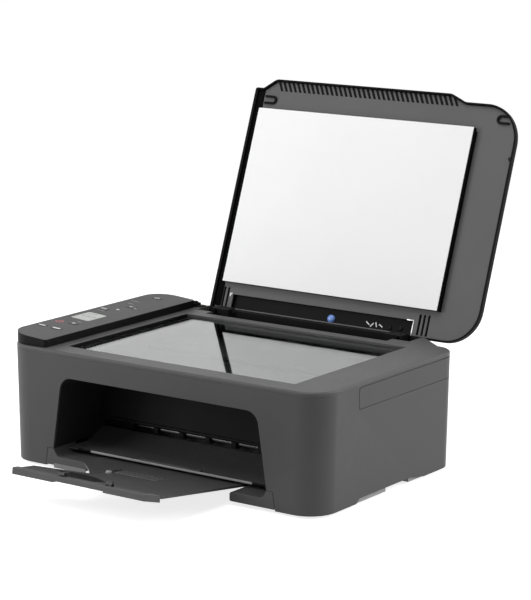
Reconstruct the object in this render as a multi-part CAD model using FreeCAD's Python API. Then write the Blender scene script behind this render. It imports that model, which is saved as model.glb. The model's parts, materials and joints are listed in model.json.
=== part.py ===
"""Compact inkjet printer with a flatbed scanner, one solid group per piece, in millimetres.

Pieces are drawn with x = 0 on the centre line, y = 0 on the front face and z = 0 on the table.
They are moved back by half the case depth when written, so the origin is under the case's middle.
The lid is drawn closed and then opened; the output tray is drawn flat and then tilted.
"""

import FreeCAD
import Part
import math
import os

# Case
CASE_WIDTH = 435.0
CASE_DEPTH = 278.0
BULGE_DEPTH = 30.0
CASE_BOTTOM = 3.0
CASE_TOP = 134.0
WALL = 2.5
FRONT_CORNER = 33.0
REAR_CORNER = 25.0
SIDE_LEAN = 3.0
SHOULDER_INSET = 24.5
BULGE_INSET = 61.5
CASE_HALF = CASE_WIDTH / 2
REAR_DEPTH = CASE_DEPTH + BULGE_DEPTH
FRAME_MIDDLE = CASE_DEPTH / 2 + 9.8
SHOULDER_HALF = CASE_HALF - SHOULDER_INSET
BULGE_HALF = CASE_HALF - BULGE_INSET

# Clearances
GAP = 0.3
RUN = 0.05
SWING = 0.5

# Skirt notch that leaves a finger grip under each side
NOTCH_START = 77.0
NOTCH_RAMP = 4.0
NOTCH_LEVEL_END = 184.0
NOTCH_END = 214.0
NOTCH_RISE = 5.0
GRIP_FRONT = 137.0
GRIP_REACH = 27.5
GRIP_INNER_X = CASE_HALF - GRIP_REACH

# Right side insert
INSERT_FRONT = 74.0
INSERT_END_X = SHOULDER_HALF + 4.0
INSERT_LOW = 108.4
INSERT_HIGH = 133.0
INSERT_DEPTH = 1.2
INSERT_CORNER = 3.0
INSERT_SEAM = 0.5

# Front bay
BAY_TOP = 109.0
BAY_POST = 68.5
BAY_FOOT_HALF = CASE_HALF - BAY_POST
BAY_FOOT_Z = 23.0
BAY_LEAN = 0.153
BAY_CORNER = 16.0
BAY_DEPTH = 92.0

# Front sill and bay floor
SILL_BOTTOM = 4.5
SILL_MARGIN = 8.0
SILL_FLARE = 3.0
SILL_TOP_HALF = BAY_FOOT_HALF + SILL_MARGIN
SILL_FOOT_HALF = SILL_TOP_HALF + SILL_FLARE
SILL_TOP = 24.0
STUB_TOP = 15.0
STUB_DEPTH = 40.0
STUB_RISE_X = BAY_FOOT_HALF - 6.0
FLOOR_FRONT = 24.0
FLOOR_BOTTOM = 19.4
FLOOR_THICK = 2.3
FLOOR_BEND = 60.0
FLOOR_REAR = 88.0
FLOOR_RISE = 12.0
LIP_HALF = 42.0
LIP_HEIGHT = 2.0
LIP_DEPTH = 4.0

# Base pan and feet
PAN_BOTTOM = 2.5
PAN_THICK = 2.5
PAN_WALL = 2.0
PAN_WALL_TOP = 12.0
PAN_FRONT = 80.0
FOOT_RADIUS = 8.0
FOOT_INSET = 41.5
FOOT_X = CASE_HALF - FOOT_INSET
FOOT_FRONT = 60.0
FOOT_REAR = CASE_DEPTH - 33.0

# Output tray, drawn flat, its slider and the extension flap
TRAY_TILT = 7.9
TRAY_TRAVEL = 129.0
TRAY_AXIS_Y = 52.0
TRAY_AXIS_Z = 11.5
TRAY_REACH = 181.6
TRAY_HALF = 99.0
TRAY_THICK = 2.2
STUB_INNER_X = TRAY_HALF + 1.0
TRAY_PIN_RADIUS = 2.5
BAR_DEPTH = 10.0
BAR_HEIGHT = 9.0
BAR_NOTCH_HEIGHT = 3.0
SLIDER_TOP = 13.5
SLIDER_BOTTOM = 6.0
SLIDER_OUTER = TRAY_HALF + 5.0
SLIDER_DEPTH = 32.0
SLIDER_BEAM = 12.0
RAIL_HALF = TRAY_HALF + 8.0
RAIL_LIP = 2.0
FLAP_HALF = 32.5
FLAP_LENGTH = 75.0
FLAP_THICK = 2.0
FLAP_BARREL = 2.2
FLAP_PIN = 1.4
FLAP_PIN_REACH = 3.5
FINGER_DENT_LENGTH = 24.0
FINGER_DENT_DEPTH = 1.0

# Inner door that covers the cartridges
DOOR_AXIS_Y = 80.0
DOOR_AXIS_Z = 47.0
DOOR_TOP = 105.5
DOOR_LEAN = 8.0
DOOR_THICK = 2.2
DOOR_BARREL = 2.4
DOOR_PIN = 1.6

# Control panel
PANEL_WIDTH = 56.5
PANEL_LEFT = -CASE_HALF - 1.0
PANEL_RIGHT = PANEL_LEFT + PANEL_WIDTH
PANEL_FRONT = 4.0
PANEL_REAR = CASE_DEPTH + 8.0
PANEL_RIGHT_TOP = 148.0
PANEL_LEFT_TOP = 152.0
PANEL_WALL = 2.2
PANEL_CORNER = 28.0
DISPLAY_CENTRE = (PANEL_LEFT + 21.0, 125.0)
DISPLAY_SIZE = (27.0, 36.0)
DISPLAY_THICK = 1.2
KEY_SIZE = (13.0, 9.0)
KEY_BOTTOM = 141.5
KEY_FLANGE = 1.2
KEY_FLANGE_THICK = 2.0
KEY_PROUD = 0.6
KEY_CENTRES = {
    "black_start_key": (PANEL_LEFT + 10.0, 54.0),
    "color_start_key": (PANEL_LEFT + 30.0, 54.0),
    "stop_key": (PANEL_LEFT + 30.0, 86.0),
    "copies_key": (PANEL_LEFT + 10.0, 166.0),
    "wireless_key": (PANEL_LEFT + 27.0, 198.0),
    "power_key": (PANEL_LEFT + 21.0, 256.0),
}

# Scanner top frame, glass and bed
FRAME_TOP = 139.0
FRAME_BEVEL = 1.5
GLASS_LEFT = PANEL_RIGHT + 15.0
GLASS_RIGHT = CASE_HALF - 51.0
GLASS_FRONT = 27.0
GLASS_REAR = CASE_DEPTH - 28.0
STRIP_WIDTH = 19.0
GLASS_THICK = 3.0
LEDGE_TOP = 133.0
LEDGE_THICK = 2.5
LEDGE_REACH = 5.0
RIM_WALL = 3.0
BED_BOTTOM = 112.2
BED_FLOOR = 1.8
SCAN_BAR_WIDTH = 22.0
SCAN_ROD_RADIUS = 3.0
SCAN_ROD_Z = 119.0
SCAN_ROD_Y = 140.0

# Rear paper deck, paper support and guides
ARM_OUTER = BULGE_HALF - 3.2
ARM_INNER = ARM_OUTER - 15.6
DECK_HALF = ARM_INNER - 7.2
DECK_FRONT = CASE_DEPTH - 13.0
DECK_WALL = 2.5
DECK_FLOOR_FRONT_Z = 42.0
DECK_FLOOR_REAR_Z = 55.0
WINDOW_HALF = DECK_HALF - 12.0
WINDOW_BOTTOM = 14.0
COVER_TOP = 116.0
SUPPORT_HALF = WINDOW_HALF - 5.0
SUPPORT_AXIS_Y = REAR_DEPTH - 9.0
SUPPORT_AXIS_Z = 122.0
SUPPORT_TOP = 139.2
SUPPORT_THICK = 3.0
SUPPORT_BARREL = 3.0
SUPPORT_PIN = 1.6
SUPPORT_CORNER = 5.0
SUPPORT_RIB = 2.0
SUPPORT_RIB_PITCH = 40.0
SUPPORT_RIB_COUNT = 5
SUPPORT_RIB_PROUD = 1.0
EAR_LOW = 108.0
EAR_ROUND = 2.5
GUIDE_X = SUPPORT_HALF - 7.0
GUIDE_THICK = 2.0
GUIDE_TRAVEL = 56.0
GUIDE_LOW = 76.0
GUIDE_HIGH = 124.0
GUIDE_REACH = 22.0
GUIDE_SLOT_Z = 96.0
GUIDE_TONGUE = 3.0

# Lid, drawn closed
LID_ANGLE = 110.4
LID_AXIS_Y = CASE_DEPTH + 18.5
LID_AXIS_Z = 127.3
LID_LEFT = PANEL_RIGHT + 2.0
LID_RIGHT = CASE_HALF + 1.5
LID_REAR = CASE_DEPTH + 6.0
LID_FRONT_LEFT = 2.0
LID_FRONT_RIGHT = -1.5
LID_TAB_FRONT = -10.3
LID_TAB_LEFT = (LID_LEFT + 12.0, LID_LEFT + 29.0)
TAB_RIGHT_END = 76.5
TAB_SHOULDER = 21.0
LID_TAB_RIGHT = (LID_RIGHT - TAB_RIGHT_END - TAB_SHOULDER, LID_RIGHT - TAB_RIGHT_END)
LID_BOTTOM = 140.0
LID_TOP = 151.0
LID_SKIN = 2.4
LID_LEFT_RIM = 4.0
LID_FRONT_RADIUS = 45.0
LID_REAR_RADIUS = 42.0
LID_TAB_RADIUS = 12.0
LINER_RECESS = 3.6
LINER_THICK = 2.0
LINER_WALL = 1.5
HINGE_BAY_HALF = ARM_INNER - 6.2
HINGE_BAY_FRONT = GLASS_REAR + 13.0
HINGE_SLOT = 3.0
HINGE_SLOT_PITCH = 6.0
HINGE_SLOT_COUNT = 3
HINGE_SLOT_FRONT = GLASS_REAR + 5.0
PAD_LEFT_INSET = 0.6
PAD_RIGHT_INSET = 4.0
PAD_END_INSET = 1.2
PAD_LIFT = 0.6
SHEET_THICK = 1.0
GRILLE_LEFT = LID_TAB_LEFT[1] + 9.0
GRILLE_RIGHT = LID_TAB_RIGHT[0] + 2.0
GRILLE_COUNT = 37
GRILLE_SLOT = 2.8
GRILLE_FRONT = LID_TAB_FRONT + 4.5
GRILLE_LENGTH = 9.4
GRILLE_SLANT = 5.2
ARM_BARREL = 6.0
ARM_PIN = 3.0
EAR_THICK = 3.5
SOCKET_BOTTOM = 112.0
SOCKET_FRONT = LID_AXIS_Y - 8.5
SOCKET_REAR = LID_AXIS_Y + 6.5
CAP_TOP = 141.5

# Print engine
CHASSIS_X = CASE_HALF - 21.5
CHASSIS_SHEET = 1.5
CHASSIS_FRONT = 94.0
CHASSIS_REAR = DECK_FRONT - 3.0
CHASSIS_TOP = 104.0
CROSS_Y = 188.0
CROSS_BOTTOM = 60.0
SHELF_Z = 80.0
SHELF_FRONT = 160.0
SHELF_LENGTH = 36.0
TAB_SIZE = 12.0
TAB_Y = (108.0, 232.0)
PAPER_Z = 45.0
MAIN_ROLLER_Y = 150.0
MAIN_SHAFT = 5.0
MAIN_SLEEVE = 7.0
MAIN_SLEEVE_HALF = 110.0
EXIT_SHAFT = 3.0
TYRE_RADIUS = 6.5
TYRE_WIDTH = 6.0
TYRE_PITCH = 37.0
TYRE_COUNT = 7
PICKUP_Y = DECK_FRONT - 13.0
PICKUP_Z = 56.0
PICKUP_SHAFT = 3.0
PICKUP_RADIUS = 12.0
PICKUP_HALF = 25.0
GEAR_MODULE = 1.0
GEAR_WIDTH = 5.0
GEAR_START = CHASSIS_X + 3.0
GEAR_BACKLASH = 0.25
MAIN_TEETH = 30
IDLER_TEETH = 20
EXIT_TEETH = 30
PINION_TEETH = 12
PINION_ANGLE = 120.0
IDLER_PIN = 2.5
PRESSURE_ANGLE = 20.0
CARRIAGE_ROD_Y = 160.0
CARRIAGE_ROD_Z = 62.0
CARRIAGE_ROD = 4.0
CARRIAGE_HALF = 45.0
NOZZLE_SIDE = 10.0
NOZZLE_END = 8.0
CARRIAGE_PARK_GAP = 91.0
CARRIAGE_PARK_X = CHASSIS_X - CARRIAGE_PARK_GAP
CARRIAGE_FRONT = 111.5
CARRIAGE_REAR = 168.0
CARRIAGE_BOTTOM = 47.0
CARRIAGE_TOP = 98.0
CARRIAGE_SKIN = 2.0
POCKET_REAR = 152.0
PULLEY_X = CHASSIS_X - 16.0
PULLEY_Y = 176.5
PULLEY_RADIUS = 6.0
PULLEY_FLANGE = 7.5
PULLEY_LOW = 82.5
PULLEY_HIGH = 91.0
PULLEY_PIN = 2.5
FLANGE_THICK = 1.0
BELT_THICK = 1.0
BELT_LOW = 84.0
BELT_HIGH = 89.5
BELT_GAP = 0.1
CLAMP_HALF = 8.0
MOTOR_RADIUS = 12.0
MOTOR_LENGTH = 23.0
MOTOR_SHAFT = 2.0
MOTOR_SEAT = 8.0
PLATEN_RIGHT = CARRIAGE_PARK_X - 47.0
PLATEN_FRONT = 108.0
PLATEN_REAR = 141.5
PLATEN_BOTTOM = 24.0
PLATEN_RIB = 3.0
RIB_PITCH = 15.0
STATION_BOTTOM = 20.0
SCREW_HEAD = 3.5
SCREW_SHANK = 1.5

# Electronics
BOARD_X = (4.0 - CHASSIS_X, 86.0 - CHASSIS_X)
BOARD_Y = (120.0, DECK_FRONT - 15.0)
BOARD_Z = 20.0
BOARD_THICK = 1.6
BOARD_POST = 6.0
POST_INSET = 3.0
CHIP_SIZE = 16.0
CHIP_HEIGHT = 3.4
CHIP_PLACES = ((22.0, 30.0), (52.0, 70.0), (27.0, 95.0))
SUPPLY_X = (CHASSIS_X - 86.0, CHASSIS_X - 14.0)
SUPPLY_Y = (CROSS_Y + 10.0, DECK_FRONT - 5.0)
SUPPLY_TOP = 46.0
INLET_X = (SUPPLY_X[0] + 14.0, SUPPLY_X[0] + 36.0)
INLET_Z = (14.0, 36.0)
INLET_WALL = 3.0
INLET_DEPTH = 12.0
INLET_PIN = 1.2
INLET_PIN_SPREAD = 4.0
INLET_PIN_LENGTH = 9.0
DATA_X = (BOARD_X[0] + 47.0, BOARD_X[0] + 61.0)
DATA_Z = (16.0, 29.0)
DATA_WALL = 1.5
DATA_DEPTH = 10.0
DATA_TONGUE = 2.5
SOCKET_PROUD = 0.6

FRAME_BOTTOM = CASE_TOP
ROLLER_Z = PAPER_Z - MAIN_SLEEVE
EXIT_Y = MAIN_ROLLER_Y - GEAR_MODULE * (MAIN_TEETH + 2 * IDLER_TEETH + EXIT_TEETH) / 2
IDLER_Y = MAIN_ROLLER_Y - GEAR_MODULE * (MAIN_TEETH + IDLER_TEETH) / 2
PINION_REACH = GEAR_MODULE * (MAIN_TEETH + PINION_TEETH) / 2
PINION_Y = MAIN_ROLLER_Y + PINION_REACH * math.cos(math.radians(PINION_ANGLE))
PINION_Z = ROLLER_Z + PINION_REACH * math.sin(math.radians(PINION_ANGLE))
TRAY_BOTTOM = TRAY_AXIS_Z - TRAY_THICK / 2
TRAY_FRONT = TRAY_AXIS_Y - TRAY_REACH
BAR_TOP = TRAY_BOTTOM + BAR_HEIGHT
FLAP_AXIS_Y = TRAY_FRONT + BAR_DEPTH / 2
FLAP_AXIS_Z = TRAY_BOTTOM + BAR_NOTCH_HEIGHT + SWING + FLAP_BARREL
CHASSIS_INNER = CHASSIS_X - GAP / 10
PAN_TOP = PAN_BOTTOM + PAN_THICK
LINER_BOTTOM = LID_BOTTOM + LINER_RECESS
LINER_TOP = LINER_BOTTOM + LINER_THICK
GLASS_TOP = LEDGE_TOP + GLASS_THICK


def vec(x, y, z):
    return FreeCAD.Vector(x, y, z)


def box(x_span, y_span, z_span):
    """Return a block between three (low, high) pairs."""
    size = [high - low for low, high in (x_span, y_span, z_span)]
    return Part.makeBox(*size, vec(x_span[0], y_span[0], z_span[0]))


def rod(axis, span, centre, radius):
    """Return a cylinder along one axis; centre holds the other two coordinates in x, y, z order."""
    low, high = span
    first, second = centre
    start = {"x": (low, first, second), "y": (first, low, second), "z": (first, second, low)}[axis]
    direction = {"x": (1, 0, 0), "y": (0, 1, 0), "z": (0, 0, 1)}[axis]
    return Part.makeCylinder(radius, high - low, vec(*start), vec(*direction))


def rounded_wire(corners, place):
    """Return a closed wire through (u, v, radius) corners, each rounded by its own arc."""
    flat = [vec(u, v, 0) for u, v, _ in corners]
    edges = []
    last_end = None
    first_start = None
    for index, (_, _, radius) in enumerate(corners):
        here = flat[index]
        to_prev = (flat[index - 1] - here).normalize()
        to_next = (flat[(index + 1) % len(flat)] - here).normalize()
        start = end = here
        if radius > 0:
            half = to_prev.getAngle(to_next) / 2
            start = here + to_prev * (radius / math.tan(half))
            end = here + to_next * (radius / math.tan(half))
            bisector = (to_prev + to_next).normalize()
            middle = here + bisector * (radius / math.sin(half) - radius)
        if last_end is not None:
            edges.append(Part.makeLine(place(last_end), place(start)))
        else:
            first_start = start
        if radius > 0:
            edges.append(Part.Arc(place(start), place(middle), place(end)).toShape())
        last_end = end
    edges.append(Part.makeLine(place(last_end), place(first_start)))
    return Part.Wire(edges)


def prism(axis, span, corners):
    """Extrude rounded corners along an axis; their (u, v) are the other two axes in x, y, z order."""
    low, high = span
    place = {
        "x": lambda p: vec(low, p.x, p.y),
        "y": lambda p: vec(p.x, low, p.y),
        "z": lambda p: vec(p.x, p.y, low),
    }[axis]
    direction = {"x": (1, 0, 0), "y": (0, 1, 0), "z": (0, 0, 1)}[axis]
    return Part.Face(rounded_wire(corners, place)).extrude(vec(*direction) * (high - low))


def rectangle(u_span, v_span, radius=0.0):
    """Return the four rounded corners of a rectangle."""
    (u0, u1), (v0, v1) = u_span, v_span
    return [(u0, v0, radius), (u1, v0, radius), (u1, v1, radius), (u0, v1, radius)]


def mirrored(shape):
    """Return the shape mirrored to the other side of the printer."""
    return shape.mirror(vec(0, 0, 0), vec(1, 0, 0))


def joined(shapes):
    """Fuse shapes into one solid and drop the seams between flush faces."""
    return shapes[0].multiFuse(shapes[1:]).removeSplitter()


def both_sides(shape):
    """Return the shape and its mirror image as a list."""
    return [shape, mirrored(shape)]


def inset_corners(corners, inset):
    """Draw a counter-clockwise outline in by an inset; the radius of each corner follows."""
    drawn = []
    for index, (u, v, radius) in enumerate(corners):
        here = vec(u, v, 0)
        before = corners[index - 1]
        after = corners[(index + 1) % len(corners)]
        arrive = (here - vec(before[0], before[1], 0)).normalize()
        leave = (vec(after[0], after[1], 0) - here).normalize()
        normals = [vec(-way.y, way.x, 0) for way in (arrive, leave)]
        moved = here + (normals[0] + normals[1]) * (inset / (1 + normals[0].dot(normals[1])))
        if radius > 0:
            turns_left = arrive.x * leave.y > arrive.y * leave.x
            radius += -inset if turns_left else inset
        drawn.append((moved.x, moved.y, radius))
    return drawn


def case_corners(inset, z):
    """Return the rounded corners of the printer's plan at a height, drawn in by an inset."""
    side = CASE_HALF + SIDE_LEAN * (z / CASE_TOP - 0.5)
    half = [
        (side, 0.0, FRONT_CORNER),
        (side, CASE_DEPTH, REAR_CORNER),
        (SHOULDER_HALF, CASE_DEPTH, 0.0),
        (BULGE_HALF, REAR_DEPTH, 0.0),
    ]
    return inset_corners(half + [(-x, y, radius) for x, y, radius in reversed(half)], inset)


def case_wire(inset, z):
    """Return the printer's plan outline at a height as a wire."""
    return rounded_wire(case_corners(inset, z), lambda p: vec(p.x, p.y, z))


def case_prism(inset, z_span):
    """Raise the printer's plan outline, drawn in by an inset; its sides lean out towards the top."""
    return Part.makeLoft([case_wire(inset, z) for z in z_span], True, True)


def bevelled_case_prism(z_span, bevel):
    """Extrude the plan outline with a bevel along its top edge."""
    low, high = z_span
    bevel_z = high - bevel
    edge = Part.makeLoft([case_wire(0, bevel_z), case_wire(bevel, high)], True, True)
    return joined([case_prism(0, (low, bevel_z)), edge])


def bay_half(z):
    """Return half the width of the front bay at a height: its sides lean in towards the top."""
    return BAY_FOOT_HALF - (z - BAY_FOOT_Z) * BAY_LEAN


def bay_prism(margin, y_span, bottom):
    """Extrude the bay's outline, widened by a margin, from its bottom up to its rounded roof."""
    top = BAY_TOP + margin
    low_half = bay_half(bottom) + margin
    high_half = bay_half(BAY_TOP) + margin
    radius = BAY_CORNER + margin
    corners = [
        (-low_half, bottom, 0),
        (low_half, bottom, 0),
        (high_half, top, radius),
        (-high_half, top, radius),
    ]
    return prism("y", y_span, corners)


def outer_case():
    """Front, sides and rear wall in one moulding, with the bay, notches, pocket and rear window."""
    shell = case_prism(0, (CASE_BOTTOM, CASE_TOP)).cut(case_prism(WALL, (CASE_BOTTOM, CASE_TOP)))
    front = (-1.0, FRONT_CORNER)
    foot = CASE_BOTTOM - 1.0
    sill = [
        (-SILL_FOOT_HALF - GAP, foot, 0),
        (SILL_FOOT_HALF + GAP, foot, 0),
        (SILL_FOOT_HALF + GAP, SILL_BOTTOM, 0),
        (SILL_TOP_HALF + GAP, SILL_TOP + GAP, 0),
        (-SILL_TOP_HALF - GAP, SILL_TOP + GAP, 0),
        (-SILL_FOOT_HALF - GAP, SILL_BOTTOM, 0),
    ]
    notch_top = CASE_BOTTOM + NOTCH_RISE
    notch = [
        (NOTCH_START - NOTCH_RAMP, foot, 0),
        (NOTCH_START + NOTCH_RAMP, notch_top, 1.5),
        (NOTCH_LEVEL_END, notch_top, 4.0),
        (NOTCH_END + NOTCH_RAMP, foot, 0),
    ]
    rear = (REAR_DEPTH - 2 * WALL, REAR_DEPTH + 1)
    window = box((-WINDOW_HALF, WINDOW_HALF), rear, (WINDOW_BOTTOM, CASE_TOP))
    arm_notch = box((ARM_INNER - SWING, ARM_OUTER + SWING), rear, (LID_AXIS_Z - 2 * ARM_BARREL, CASE_TOP))
    cuts = [
        bay_prism(0, front, SILL_TOP),
        prism("y", front, sill),
        prism("x", (-CASE_WIDTH, CASE_WIDTH), notch),
        insert_band(0),
        window,
        box(*supply_mouth(GAP)),
        box(*data_mouth(GAP)),
    ]
    return shell.cut(cuts + both_sides(arm_notch))


def insert_band(margin):
    """Return a band of the right wall's skin that runs round the rear corner, drawn in by a margin."""
    z_span = (INSERT_LOW + margin, INSERT_HIGH - margin)
    band = case_prism(0, z_span).cut(case_prism(INSERT_DEPTH, z_span))
    outline = rectangle((INSERT_FRONT + margin, REAR_DEPTH), z_span, INSERT_CORNER)
    return band.common(prism("x", (INSERT_END_X + margin, CASE_WIDTH), outline))


def right_side_insert():
    """Thin panel that sits in the pocket of the right wall."""
    return insert_band(INSERT_SEAM)


def front_sill():
    """Two stubs of the front lip, joined by the bay floor behind them."""
    stub = prism(
        "y",
        (0.0, STUB_DEPTH),
        [
            (STUB_INNER_X, SILL_BOTTOM, 2.0),
            (SILL_FOOT_HALF, SILL_BOTTOM, 1.0),
            (SILL_TOP_HALF, SILL_TOP, 0.0),
            (bay_half(SILL_TOP), SILL_TOP, 0.0),
            (STUB_RISE_X, STUB_TOP, 7.0),
            (STUB_INNER_X, STUB_TOP, 3.0),
        ],
    )
    top = FLOOR_BOTTOM + FLOOR_THICK
    side = [
        (FLOOR_FRONT, FLOOR_BOTTOM, 0),
        (FLOOR_BEND, FLOOR_BOTTOM, 0),
        (FLOOR_REAR, FLOOR_BOTTOM + FLOOR_RISE, 0),
        (FLOOR_REAR, top + FLOOR_RISE, 0),
        (FLOOR_BEND, top, 0),
        (FLOOR_FRONT, top, 0),
    ]
    half = bay_half(top + FLOOR_RISE) - GAP
    floor = prism("x", (-half, half), side)
    lip = box((-LIP_HALF, LIP_HALF), (FLOOR_FRONT, FLOOR_FRONT + LIP_DEPTH), (FLOOR_BOTTOM, top + LIP_HEIGHT))
    return joined(both_sides(stub) + [floor, lip])


def bay_liner():
    """Dark tunnel behind the front opening, with bores for the inner door's pins."""
    span = (WALL + GAP, BAY_DEPTH)
    bottom = SILL_TOP + GAP
    tunnel = bay_prism(WALL, span, bottom).cut(bay_prism(0, span, bottom))
    bore = rod("x", (-CASE_WIDTH / 2, CASE_WIDTH / 2), (DOOR_AXIS_Y, DOOR_AXIS_Z), DOOR_PIN + RUN)
    return tunnel.cut(bore)


def cartridge_door():
    """Inner door that leans back at the bay's rear and swings down on two pins."""
    low = DOOR_AXIS_Z - DOOR_BARREL
    half_thick = DOOR_THICK / 2
    side = [
        (DOOR_AXIS_Y - half_thick, DOOR_AXIS_Z, 0),
        (DOOR_AXIS_Y + half_thick, DOOR_AXIS_Z, 0),
        (DOOR_AXIS_Y + DOOR_LEAN + half_thick, DOOR_TOP, 0),
        (DOOR_AXIS_Y + DOOR_LEAN - half_thick, DOOR_TOP, 0),
    ]
    reach = CASE_WIDTH / 2
    low_half = bay_half(low) - 2 * SWING
    high_half = bay_half(DOOR_TOP) - 2 * SWING
    face = [
        (-low_half, low, 0),
        (low_half, low, 0),
        (high_half, DOOR_TOP, BAY_CORNER),
        (-high_half, DOOR_TOP, BAY_CORNER),
    ]
    axis = (DOOR_AXIS_Y, DOOR_AXIS_Z)
    leaf = joined([prism("x", (-reach, reach), side), rod("x", (-reach, reach), axis, DOOR_BARREL)])
    leaf = leaf.common(prism("y", (0, CASE_DEPTH), face))
    pin_end = bay_half(DOOR_AXIS_Z) + WALL
    return joined([leaf, rod("x", (-pin_end, pin_end), axis, DOOR_PIN)])


def base_pan():
    """Bottom tray with its upstand, the tray's rails and the finger grips."""
    margin = WALL + GAP
    pan = case_prism(margin, (PAN_BOTTOM, PAN_WALL_TOP))
    pan = pan.cut(case_prism(margin + PAN_WALL, (PAN_TOP, PAN_WALL_TOP)))
    below, above = PAN_BOTTOM - 1, PAN_WALL_TOP + 1
    sill_room = box((-SILL_FOOT_HALF - 1, SILL_FOOT_HALF + 1), (0, STUB_DEPTH + GAP), (below, above))
    slot = box((-TRAY_HALF - 1, TRAY_HALF + 1), (0, PAN_FRONT), (below, above))
    grip = box((GRIP_INNER_X, CASE_WIDTH), (GRIP_FRONT, NOTCH_LEVEL_END), (below, above))
    window = box((-WINDOW_HALF, WINDOW_HALF), (REAR_DEPTH - 2 * WALL, REAR_DEPTH), (PAN_TOP, above))
    pan = pan.cut([sill_room, slot, window] + both_sides(grip))
    rail_rear = TRAY_AXIS_Y + TRAY_TRAVEL + SLIDER_DEPTH
    rail_span = (STUB_DEPTH + GAP, rail_rear)
    channel_top = SLIDER_TOP + SWING
    rail = box((TRAY_HALF + 1, RAIL_HALF), rail_span, (PAN_BOTTOM, channel_top + RAIL_LIP))
    groove = box((TRAY_HALF, SLIDER_OUTER + GAP), (0, rail_rear + 1), (SLIDER_BOTTOM - GAP, channel_top))
    rail = rail.cut(groove)
    holes = []
    for y in TAB_Y:
        centre = (CHASSIS_X - TAB_SIZE / 2, y)
        holes += both_sides(rod("z", (below, above), centre, SCREW_SHANK + GAP))
        holes += both_sides(rod("z", (below, PAN_BOTTOM + 1.2), centre, SCREW_HEAD + GAP))
    posts = [box((x, x + BOARD_POST), (y, y + BOARD_POST), (PAN_BOTTOM, BOARD_Z)) for x, y in board_posts()]
    return joined([pan] + both_sides(rail) + posts).cut(holes)


def board_posts():
    """Return the corners where the main board stands on the base pan."""
    columns = (BOARD_X[0] + POST_INSET, BOARD_X[1] - POST_INSET - BOARD_POST)
    rows = (BOARD_Y[0] + POST_INSET, BOARD_Y[1] - POST_INSET - BOARD_POST)
    return [(x, y) for x in columns for y in rows]


def rubber_feet():
    """Four round feet under the base pan."""
    feet = []
    for y in (FOOT_FRONT, FOOT_REAR):
        feet += both_sides(rod("z", (0, PAN_BOTTOM), (FOOT_X, y), FOOT_RADIUS))
    return Part.makeCompound(feet)


def tray_slider():
    """U-shaped slider that runs in the rails and carries the tray's pivots."""
    inner = TRAY_HALF + SWING
    front = TRAY_AXIS_Y - SLIDER_BEAM
    rear = front + SLIDER_DEPTH
    height = (SLIDER_BOTTOM, SLIDER_TOP)
    runner = box((inner, SLIDER_OUTER), (front, rear), height)
    beam = box((-SLIDER_OUTER, SLIDER_OUTER), (rear - SLIDER_BEAM, rear), height)
    bore = rod("x", (-CASE_WIDTH, CASE_WIDTH), (TRAY_AXIS_Y, TRAY_AXIS_Z), TRAY_PIN_RADIUS + RUN)
    return joined(both_sides(runner) + [beam]).cut(bore)


def tilted(shape):
    """Tilt a tray piece up about the tray's pivot, to its pulled-out pose."""
    shape.rotate(vec(0, TRAY_AXIS_Y, TRAY_AXIS_Z), vec(-1, 0, 0), TRAY_TILT)
    return shape


def output_tray():
    """Tray plate with its front bar, the window for the flap and the pivot pins."""
    top = TRAY_BOTTOM + TRAY_THICK
    bar_rear = TRAY_FRONT + BAR_DEPTH
    plate = prism("z", (TRAY_BOTTOM, top), rectangle((-TRAY_HALF, TRAY_HALF), (TRAY_FRONT, TRAY_AXIS_Y), 2.0))
    bar = prism("z", (TRAY_BOTTOM, BAR_TOP), rectangle((-TRAY_HALF, TRAY_HALF), (TRAY_FRONT, bar_rear), 3.0))
    barrel = rod("x", (-TRAY_HALF, TRAY_HALF), (TRAY_AXIS_Y, TRAY_AXIS_Z), TRAY_PIN_RADIUS + 1)
    pins = rod("x", (-SLIDER_OUTER, SLIDER_OUTER), (TRAY_AXIS_Y, TRAY_AXIS_Z), TRAY_PIN_RADIUS)
    half = FLAP_HALF + SWING
    flap_end = bar_rear + FLAP_LENGTH
    notch = box((-half, half), (TRAY_FRONT - 1, bar_rear), (TRAY_BOTTOM + BAR_NOTCH_HEIGHT, BAR_TOP + 1))
    window = box((-half, half), (bar_rear, flap_end), (TRAY_BOTTOM - 1, BAR_TOP))
    dent = box((-half, half), (flap_end, flap_end + FINGER_DENT_LENGTH), (top - FINGER_DENT_DEPTH, top + 1))
    reach = half + FLAP_PIN_REACH
    bore = rod("x", (-reach, reach), (FLAP_AXIS_Y, FLAP_AXIS_Z), FLAP_PIN + RUN)
    return tilted(joined([plate, bar, barrel, pins]).cut([notch, window, dent, bore]))


def tray_extension():
    """Flap that lies in the tray's window and folds out over the front bar."""
    start = TRAY_FRONT + BAR_DEPTH + SWING
    end = TRAY_FRONT + BAR_DEPTH + FLAP_LENGTH - SWING
    top = TRAY_BOTTOM + FLAP_THICK
    side = [
        (FLAP_AXIS_Y, FLAP_AXIS_Z - FLAP_BARREL, 0),
        (start, FLAP_AXIS_Z - FLAP_BARREL, 0),
        (start, TRAY_BOTTOM, 0),
        (end, TRAY_BOTTOM, 0),
        (end, top, 0),
        (start + FLAP_THICK, top, 0),
        (start + FLAP_THICK, FLAP_AXIS_Z + FLAP_BARREL, 0),
        (FLAP_AXIS_Y, FLAP_AXIS_Z + FLAP_BARREL, 0),
    ]
    span = (-FLAP_HALF, FLAP_HALF)
    axis = (FLAP_AXIS_Y, FLAP_AXIS_Z)
    reach = FLAP_HALF + FLAP_PIN_REACH
    pin = rod("x", (-reach, reach), axis, FLAP_PIN)
    leaf = [prism("x", span, side), rod("x", span, axis, FLAP_BARREL), pin]
    return tilted(joined(leaf))


def glass_opening(margin, z_span):
    """Return a block of the scanner's opening, grown by a margin."""
    x_span = (GLASS_LEFT - margin, GLASS_RIGHT + margin)
    y_span = (GLASS_FRONT - margin, GLASS_REAR + margin)
    return box(x_span, y_span, z_span)


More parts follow.
